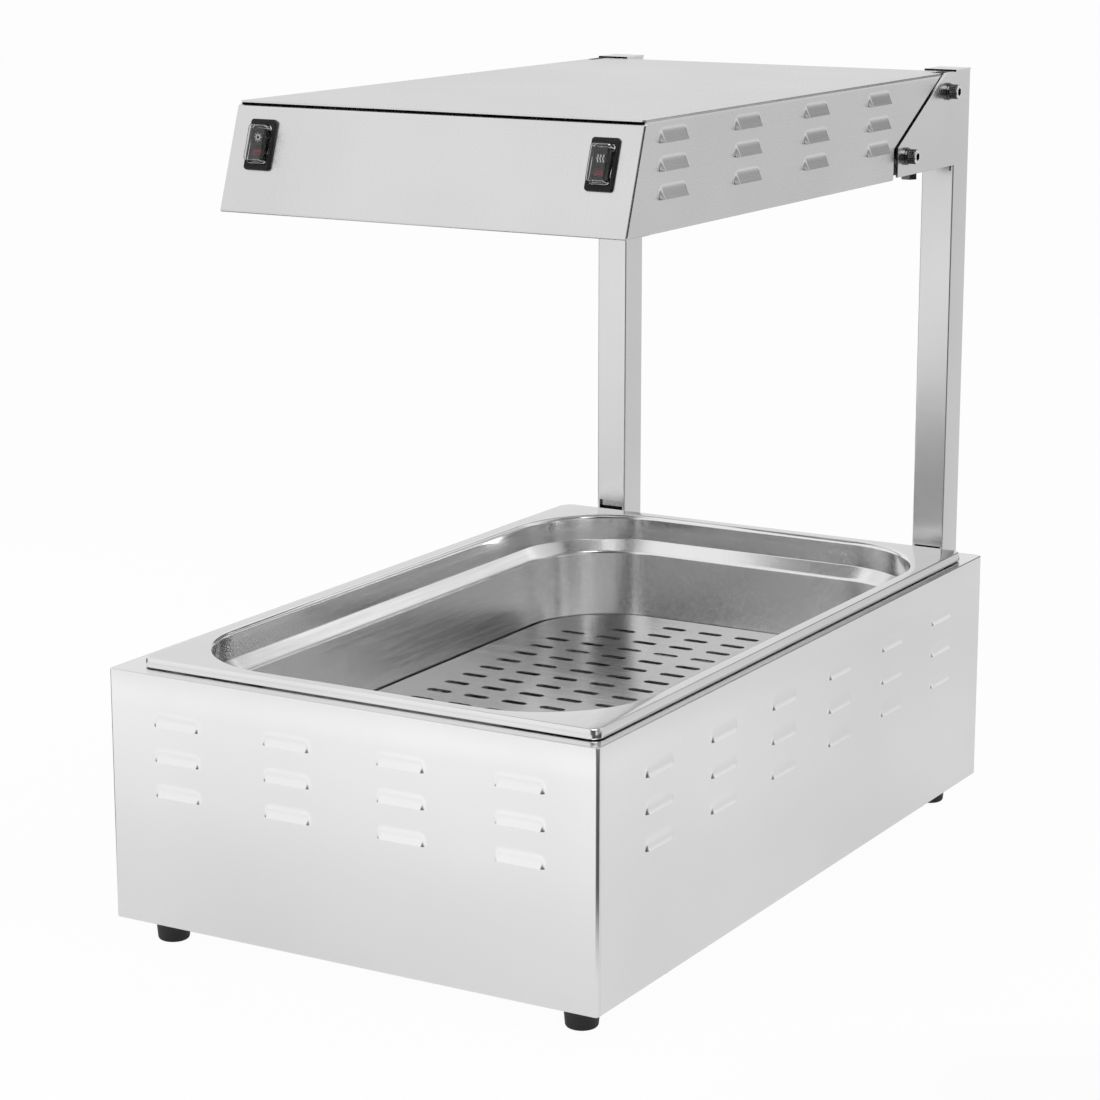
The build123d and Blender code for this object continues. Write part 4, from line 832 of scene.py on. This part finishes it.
def canopy_front():
    """Sloping front: its bent outline in side view carried across, both ends falling back in a radius."""
    top_z = CANOPY_TOP_Z - FRONT_TOP_GAP
    top_y = CANOPY_Y + (top_z - CANOPY_Z) * LEAN
    corners = [(top_y + FRONT_FOLD, top_z), (top_y, top_z), (CANOPY_Y, CANOPY_Z), (SHELF_Y, CANOPY_Z)]
    points, normals = bend_path(corners, [FRONT_TOP_BEND_R, SHELF_BEND_R])
    across = np.concatenate([FRONT_END_STEPS - GANTRY_X, GANTRY_X - FRONT_END_STEPS[::-1]])
    fall = edge_fall(GANTRY_X - np.abs(across))
    section = points[:, None] - fall[None, :, None] * normals[:, None]
    full = np.dstack([np.broadcast_to(across[None], section.shape[:2]), section])
    stock = Stock()
    stock.grid(full, flip=True)
    name = "canopy_front_sheet"
    stock.make(name, "canopy_front_steel", "base", ["canopy_front"], wall=CANOPY_WALL)


# Switches

LEAN_ANGLE = np.radians(19.0)
SLOPE = np.array([
    [1, 0, 0],
    [0, np.sin(LEAN_ANGLE), np.cos(LEAN_ANGLE)],
    [0, -np.cos(LEAN_ANGLE), np.sin(LEAN_ANGLE)],
])
TILT = np.radians(7.0)
TIP = np.array([[1, 0, 0], [0, np.cos(TILT), np.sin(TILT)], [0, -np.sin(TILT), np.cos(TILT)]])


def on_slope(points, side):
    """Moves points from a switch's own frame, x across and y up the slope, to its place on the front."""
    return np.asarray(points) @ SLOPE + (side * SWITCH_X, SWITCH_Y, SWITCH_Z)


def on_rocker(points, side):
    """Moves points from a rocker's own frame, tipped to its rest, to its place on the front."""
    return on_slope(np.asarray(points) @ TIP, side)


def switch(side, name):
    """Bezel with rounded edges and a well for the rocker, the body behind it and its blades."""
    bezel = [
        (15.2, 27.0, 0.8, -17.0), (15.2, 27.0, 0.8, 0.0), (18.8, 32.0, 2.0, 0.0), (18.8, 32.0, 2.0, 1.1),
        (18.5, 31.7, 1.9, 1.7), (17.8, 31.0, 1.7, 2.1), (17.0, 30.2, 1.5, 2.2), (13.6, 23.0, 1.0, 2.2),
        (12.7, 22.1, 0.9, 2.0), (12.3, 21.7, 0.8, 1.4), (12.2, 21.6, 0.8, -5.8),
    ]
    blade = stack([(4.8, 0.8, 0.3, -24.0), (4.8, 0.8, 0.3, -16.5)])
    stock = Stock()
    stock.loops(on_slope(stack(bezel), side))
    for y in BLADE_Y:
        stock.loops(on_slope(blade + (0, y, 0), side))
    stock.make(name + "_switch_body", "black_plastic", "base", [name + "_switch"])


def rocker_top(y):
    """Height of a rocker's face: two shallow hollows that rise to each end from a rounded middle."""
    return 3.75 + 0.13 * np.sqrt(y ** 2 + 2.0) - 0.35 * np.sin(np.pi * np.clip(np.abs(y) / 9.6, 0, 1)) ** 2


def rocker(side, name):
    """Rocker: its side outline carried across, drawn in at both flanks, with pivot stubs, lens and sign."""
    body = name + "_switch_rocker"
    y = np.linspace(ROCKER_HALF_L, -ROCKER_HALF_L, 25)
    top = np.column_stack([y, rocker_top(y)])
    foot = np.array([(-9.7, 4.6), (-9.75, -1.4), (-4.9, -2.9), (4.9, -2.9), (9.75, -1.4), (9.7, 4.6)])
    outline = np.concatenate([top, foot])
    centre = np.array([0.0, 1.2])
    loops = []
    for x, draw in ((-5.5, 0.94), (-5.3, 0.985), (-4.9, 1.0), (4.9, 1.0), (5.3, 0.985), (5.5, 0.94)):
        section = centre + (outline - centre) * draw
        loops.append(np.column_stack([np.full(len(section), x), section]))
    cap = Stock()
    cap.loops(on_rocker(loops, side))
    spin = np.linspace(0, 2 * np.pi, 17)[:-1]
    circle = STUB_R * np.column_stack([np.cos(spin), np.sin(spin)])
    for flank in (-1, 1):
        stub = [np.column_stack([np.full(len(circle), flank * x), circle]) for x in STUB_ENDS]
        cap.loops(on_rocker(stub, side), flip=flank < 0)
    cap.make(name + "_rocker_cap", "rocker_plastic", body, [name + "_rocker"])
    lens = Stock()
    across, along = np.meshgrid(np.linspace(-LENS_HALF_W, LENS_HALF_W, 9), np.linspace(*LENS_Y, 9))
    lens.grid(on_rocker(np.dstack([across, along, rocker_top(along) + LENS_LIFT]), side))
    lens.make(name + "_rocker_lens", "red_lens", body, (), wall=LENS_WALL)
    mark = Stock()
    draw_mark = heat_mark if side > 0 else lamp_mark
    draw_mark(mark, side)
    mark.make(name + "_rocker_mark", "white_mark", body, (), wall=MARK_WALL)


def heat_mark(stock, side):
    """Three rising waves: x = swing * sin(3 pi t) along a strip of constant width."""
    t = np.linspace(0, 1, 28)
    along = HEAT_WAVE_Y + HEAT_WAVE_L * t
    lift = rocker_top(along) + MARK_LIFT
    edges = (HEAT_WAVE_HALF_W, -HEAT_WAVE_HALF_W)
    for centre in HEAT_WAVE_CENTRES:
        wave = centre + HEAT_WAVE_SWING * np.sin(3 * np.pi * t)
        strip = np.stack([np.column_stack([wave + edge, along, lift]) for edge in edges])
        stock.grid(on_rocker(strip, side))


def lamp_mark(stock, side):
    """Plain round lamp sign: a ring with short rays."""
    spin = np.linspace(0, 2 * np.pi, 33)
    ring = []
    for radius in LAMP_SIGN_RING:
        along = LAMP_SIGN_Y + radius * np.sin(spin)
        ring.append(np.column_stack([radius * np.cos(spin), along, rocker_top(along) + MARK_LIFT]))
    stock.grid(on_rocker(np.array(ring), side), flip=True)
    for angle in np.arange(8) * np.pi / 4:
        way = np.array([np.cos(angle), np.sin(angle)])
        out = np.array([-np.sin(angle), np.cos(angle)])
        edges = [[way * r + out * w for r in LAMP_RAY] for w in (LAMP_RAY_HALF_W, -LAMP_RAY_HALF_W)]
        flat = np.array(edges) + (0, LAMP_SIGN_Y)
        ray = np.dstack([flat, rocker_top(flat[..., 1:2]) + MARK_LIFT])
        stock.grid(on_rocker(ray, side), flip=True)


def cover(side, name):
    """Clear splash cover: rounded walls that roll into a slightly crowned top."""
    levels = [
        (14.4, 24.1, 2.4, 2.25), (13.4, 23.2, 2.2, 5.9), (13.1, 22.9, 2.1, 6.8), (12.5, 22.3, 1.8, 7.4),
        (11.5, 21.3, 1.4, 7.7), (6.0, 14.0, 1.0, 7.78),
    ]
    stock = Stock()
    stock.loops(on_slope(stack(levels), side), start=False)
    node = name + "_switch_cover"
    stock.make(name + "_splash_cover", "clear_plastic", "base", [node], wall=COVER_WALL)


# Feet, screws and heat tubes

def feet():
    """Rubber feet: a tapering side, a rounded lower edge and a shallow ring under the casing."""
    quarter = np.linspace(0, np.pi / 2, 6)
    edge_r, edge_z = FOOT_SOLE_R + FOOT_EDGE_R * np.sin(quarter), FOOT_EDGE_R - FOOT_EDGE_R * np.cos(quarter)
    profile = [(AXLE, 0.0), *zip(edge_r, edge_z)]
    profile += [
        (10.6, 8.0), (11.1, 14.5), (11.45, 15.2), (11.5, 15.8), (11.5, 17.6), (11.3, 17.95), (AXLE, 17.95),
    ]
    stock = Stock()
    for x in (-FOOT_X, FOOT_X):
        for y in (FRONT_Y + FOOT_INSET, REAR_Y - FOOT_INSET):
            turned(stock, profile, (x, y, 0.0), axis=2, sides=40)
    stock.make("feet_rubber", "black_rubber", "base", ["rubber_feet"])


def socket_screws():
    """Socket screws along X: a profile of (radius, distance, knurl, socket) carried round.

    The knurl waves the radius by depth * |sin(teeth * a / 2)|, and the socket is a hexagon, whose radius is
    half its width over flats divided by the cosine of the angle from the nearest flat."""
    spin = np.linspace(0, 2 * np.pi, 4 * KNURL_TEETH + 1)[:-1]
    wave = KNURL_DEPTH * np.abs(np.sin(KNURL_TEETH * spin / 2))
    flat = SOCKET_AF / 2 / np.cos((spin + np.pi / 6) % (np.pi / 3) - np.pi / 6)
    profile = np.array([
        (SCREW_R, -SHANK_L, 0, 0), (SCREW_R, 0, 0, 0), (HEAD_R - 0.5, 0, 0, 0), (HEAD_R - 0.2, 0.3, 0, 0),
        (HEAD_R, 0.5, 1, 0), (HEAD_R, HEAD_H - 1.5, 1, 0), (HEAD_R - 0.1, HEAD_H - 1.2, 0, 0),
        (HEAD_R - 0.2, HEAD_H - 0.5, 0, 0), (HEAD_R - 0.7, HEAD_H, 0, 0), (0, HEAD_H, 0, 1),
        (0, HEAD_H - SOCKET_DEPTH, 0, 1),
    ])
    plain, along, knurl, hexagon = profile.T[:, :, None]
    radius = plain + flat * hexagon - wave * knurl
    out = SCREW_X + np.broadcast_to(along, radius.shape)
    stock = Stock()
    for side in (-1, 1):
        for y, z in SCREW_PLACES:
            ring = np.stack([side * out, y + radius * np.cos(spin), z + radius * np.sin(spin)], -1)
            stock.loops(ring, flip=side < 0)
    stock.make("socket_screws", "screw_steel", "base", ["gusset_screws"])


def heat_tubes():
    """Quartz tubes with rounded ends, and the heater coil inside each: a helix of a thin round wire."""
    low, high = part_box("heat_tubes")
    y0, y1, z = low.y / MM, high.y / MM, (low.z + high.z) / 2 / MM
    quarter = np.linspace(0, np.pi / 2, 5)
    profile = [(AXLE, y0)] + [(TUBE_FLAT_R + np.sin(a), y0 + 1 - np.cos(a)) for a in quarter]
    profile += [(TUBE_FLAT_R + np.cos(a), y1 - 1 + np.sin(a)) for a in quarter] + [(AXLE, y1)]
    turns = np.linspace(0, 1, COIL_TURNS * COIL_STEPS)
    spin = (2 * np.pi * COIL_TURNS * turns)[:, None]
    along = (y0 + COIL_END + (y1 - y0 - 2 * COIL_END) * turns)[:, None]
    rim = np.linspace(0, 2 * np.pi, 6)[None, :-1]
    reach = COIL_R + WIRE_R * np.cos(rim)
    glass = Stock()
    coil = Stock()
    for x in (-TUBE_X, TUBE_X):
        turned(glass, profile, (x, 0.0, z), axis=1, sides=32)
        across, up = x + reach * np.cos(spin), z + reach * np.sin(spin)
        coil.loops(np.stack([across, along + WIRE_R * np.sin(rim), up], -1))
    glass.make("quartz_tubes", "quartz", "base", ["heat_tubes"])
    coil.make("heater_coils", "heater_coil", "base", (), merge=False)


casing()
pan()
canopy_shell()
canopy_front()
for hand, label in ((-1, "left"), (1, "right")):
    post_channel(hand, label + "_post")
    post_gusset(hand, label + "_post")
    post_tab(hand, label + "_post")
    switch(hand, label)
    rocker(hand, label)
    cover(hand, label)
feet()
socket_screws()
heat_tubes()


# Floor, light and camera

def vector_node(tree, operation, first, second=None):
    """Vector Math node on a vector and, where the operation needs it, a fixed second one."""
    node = tree.nodes.new("ShaderNodeVectorMath")
    node.operation = operation
    tree.links.new(first, node.inputs[0])
    if second is not None:
        node.inputs[1].default_value = second
    return node


def toward(tree, way, aim, low, high, start, stop):
    """How much a direction faces an aim, mapped smoothly from start..stop to low..high."""
    facing = vector_node(tree, "DOT_PRODUCT", way, np.asarray(aim) / np.linalg.norm(aim))
    return spread(tree, facing.outputs["Value"], low, high, start, stop, smooth=True)


def wedge(tree, place, corner, aim, start, stop):
    """One on the lit floor, nearly zero in a wedge that opens from a corner of the casing towards an aim."""
    off = vector_node(tree, "SUBTRACT", place, (corner * SIDE_X * MM, FRONT_Y * MM, 0)).outputs["Vector"]
    way = vector_node(tree, "NORMALIZE", off).outputs["Vector"]
    size = vector_node(tree, "LENGTH", off).outputs["Value"]
    inside = toward(tree, way, aim, 0.0, 1.0, start, stop)
    beyond = spread(tree, size, 0.0, 1.0, *UNLIT_FROM)
    return spread(tree, combine(tree, "MULTIPLY", inside, beyond), 1.0, UNLIT_SHARE, 0.0, 1.0)


def floor():
    """Wide pale floor that shows white and keeps a soft shadow, also in gloss and through glass.

    Its paper is darker near the object and behind it: painted shadow. Paper and gloss have a wide dark wedge
    to the right and a narrow one to the left, as dark boards beside the object would give: painted shade on
    the paper and a painted dark reflection in the gloss."""
    mesh = bpy.data.meshes.new("floor")
    corners = FLOOR_REACH * np.array([(-1, -1), (1, -1), (1, 1), (-1, 1)])
    mesh.from_pydata(np.column_stack([corners, np.full(4, FLOOR_Z)]).tolist(), [], [(0, 1, 2, 3)])
    material = bpy.data.materials.new("floor_paper")
    material.use_nodes = True
    tree = material.node_tree
    tree.nodes.clear()
    place = tree.nodes.new("ShaderNodeTexCoord").outputs["Object"]
    # Painted shade and painted dark reflection: the paper and its gloss fall nearly to zero in these wedges
    right = wedge(tree, place, 1, *UNLIT_RIGHT)
    left = wedge(tree, place, -1, *UNLIT_LEFT)
    lit = combine(tree, "MULTIPLY", right, left)
    far = vector_node(tree, "LENGTH", place).outputs["Value"]
    # Painted shadow: the paper darkens near the object and behind it
    near = spread(tree, far, *PAPER_NEAR_PAINTED_SHADOW)
    back = toward(tree, place, (0, 1, 0), *PAPER_BACK_PAINTED_SHADOW)
    pale = combine(tree, "MULTIPLY", combine(tree, "MULTIPLY", near, back), lit)
    paper = tree.nodes.new("ShaderNodeBsdfDiffuse")
    tree.links.new(tint(tree, pale, grey(0), grey(1)), paper.inputs["Color"])
    glow = tree.nodes.new("ShaderNodeEmission")
    glow.inputs["Strength"].default_value = 1.0
    path = tree.nodes.new("ShaderNodeLightPath")
    seen = spread(tree, path.outputs["Is Camera Ray"], 0, SEEN_WHITE, 0, 1)
    mirrored = spread(tree, path.outputs["Is Glossy Ray"], 0, MIRRORED_WHITE, 0, 1)
    through = spread(tree, path.outputs["Is Transmission Ray"], 0, SEEN_WHITE, 0, 1)
    share = combine(tree, "MAXIMUM", seen, combine(tree, "MULTIPLY", mirrored, lit))
    mix = tree.nodes.new("ShaderNodeMixShader")
    tree.links.new(combine(tree, "MAXIMUM", share, through), mix.inputs["Fac"])
    tree.links.new(paper.outputs["BSDF"], mix.inputs[1])
    tree.links.new(glow.outputs["Emission"], mix.inputs[2])
    output = tree.nodes.new("ShaderNodeOutputMaterial")
    tree.links.new(mix.outputs["Shader"], output.inputs["Surface"])
    mesh.materials.append(material)
    ground = bpy.data.objects.new("floor", mesh)
    bpy.context.scene.collection.objects.link(ground)


def studio():
    """White room to the camera; for light and gloss it is bright all round and dimmer overhead.

    A few patches, mostly at the back, add to that level or take from it, and it never falls below zero."""
    world = bpy.data.worlds.new("studio")
    bpy.context.scene.world = world
    world.use_nodes = True
    tree = world.node_tree
    tree.nodes.clear()
    way = tree.nodes.new("ShaderNodeTexCoord").outputs["Generated"]
    level = toward(tree, way, *ROOM_OVERHEAD)
    for patch in ROOM_PATCHES:
        level = combine(tree, "ADD", level, toward(tree, way, *patch))
    room = tree.nodes.new("ShaderNodeBackground")
    room.inputs["Color"].default_value = (1, 1, 1, 1)
    tree.links.new(combine(tree, "MAXIMUM", level, 0.0), room.inputs["Strength"])
    white = tree.nodes.new("ShaderNodeBackground")
    white.inputs["Color"].default_value = (1, 1, 1, 1)
    white.inputs["Strength"].default_value = 1.0
    path = tree.nodes.new("ShaderNodeLightPath")
    mix = tree.nodes.new("ShaderNodeMixShader")
    tree.links.new(path.outputs["Is Camera Ray"], mix.inputs["Fac"])
    tree.links.new(room.outputs["Background"], mix.inputs[1])
    tree.links.new(white.outputs["Background"], mix.inputs[2])
    output = tree.nodes.new("ShaderNodeOutputWorld")
    tree.links.new(mix.outputs["Shader"], output.inputs["Surface"])


def lamp(name, place, target, size, power):
    """Soft area lamp aimed at a point."""
    light = bpy.data.lights.new(name, "AREA")
    light.shape = "RECTANGLE"
    light.size, light.size_y = size
    light.energy = power
    lamp_object = bpy.data.objects.new(name, light)
    way = np.asarray(target, float) - np.asarray(place, float)
    way /= np.linalg.norm(way)
    lamp_object.location = place
    lamp_object.rotation_euler = (np.arccos(-way[2]), 0, np.arctan2(way[1], way[0]) - np.pi / 2)
    bpy.context.scene.collection.objects.link(lamp_object)


def camera():
    """Camera at the photograph's angle: 30 degrees to the right of the front, looking down 13 degrees."""
    lens = bpy.data.cameras.new("camera")
    lens.sensor_width = SENSOR_MM
    lens.lens = SENSOR_MM * FOCAL_PIXELS / PHOTO_PIXELS
    lens.clip_end = 60.0
    eye = bpy.data.objects.new("camera", lens)
    eye.location = EYE_PLACE
    eye.rotation_euler = (np.radians(90 - EYE_DOWN), 0, np.radians(EYE_TURN))
    bpy.context.scene.collection.objects.link(eye)
    bpy.context.scene.camera = eye


floor()
studio()
lamp("key", place=(1.3, -1.3, 3.0), target=(0, -0.1, 0.2), size=(2.2, 2.2), power=72)
camera()
bpy.context.scene.view_settings.view_transform = "Standard"
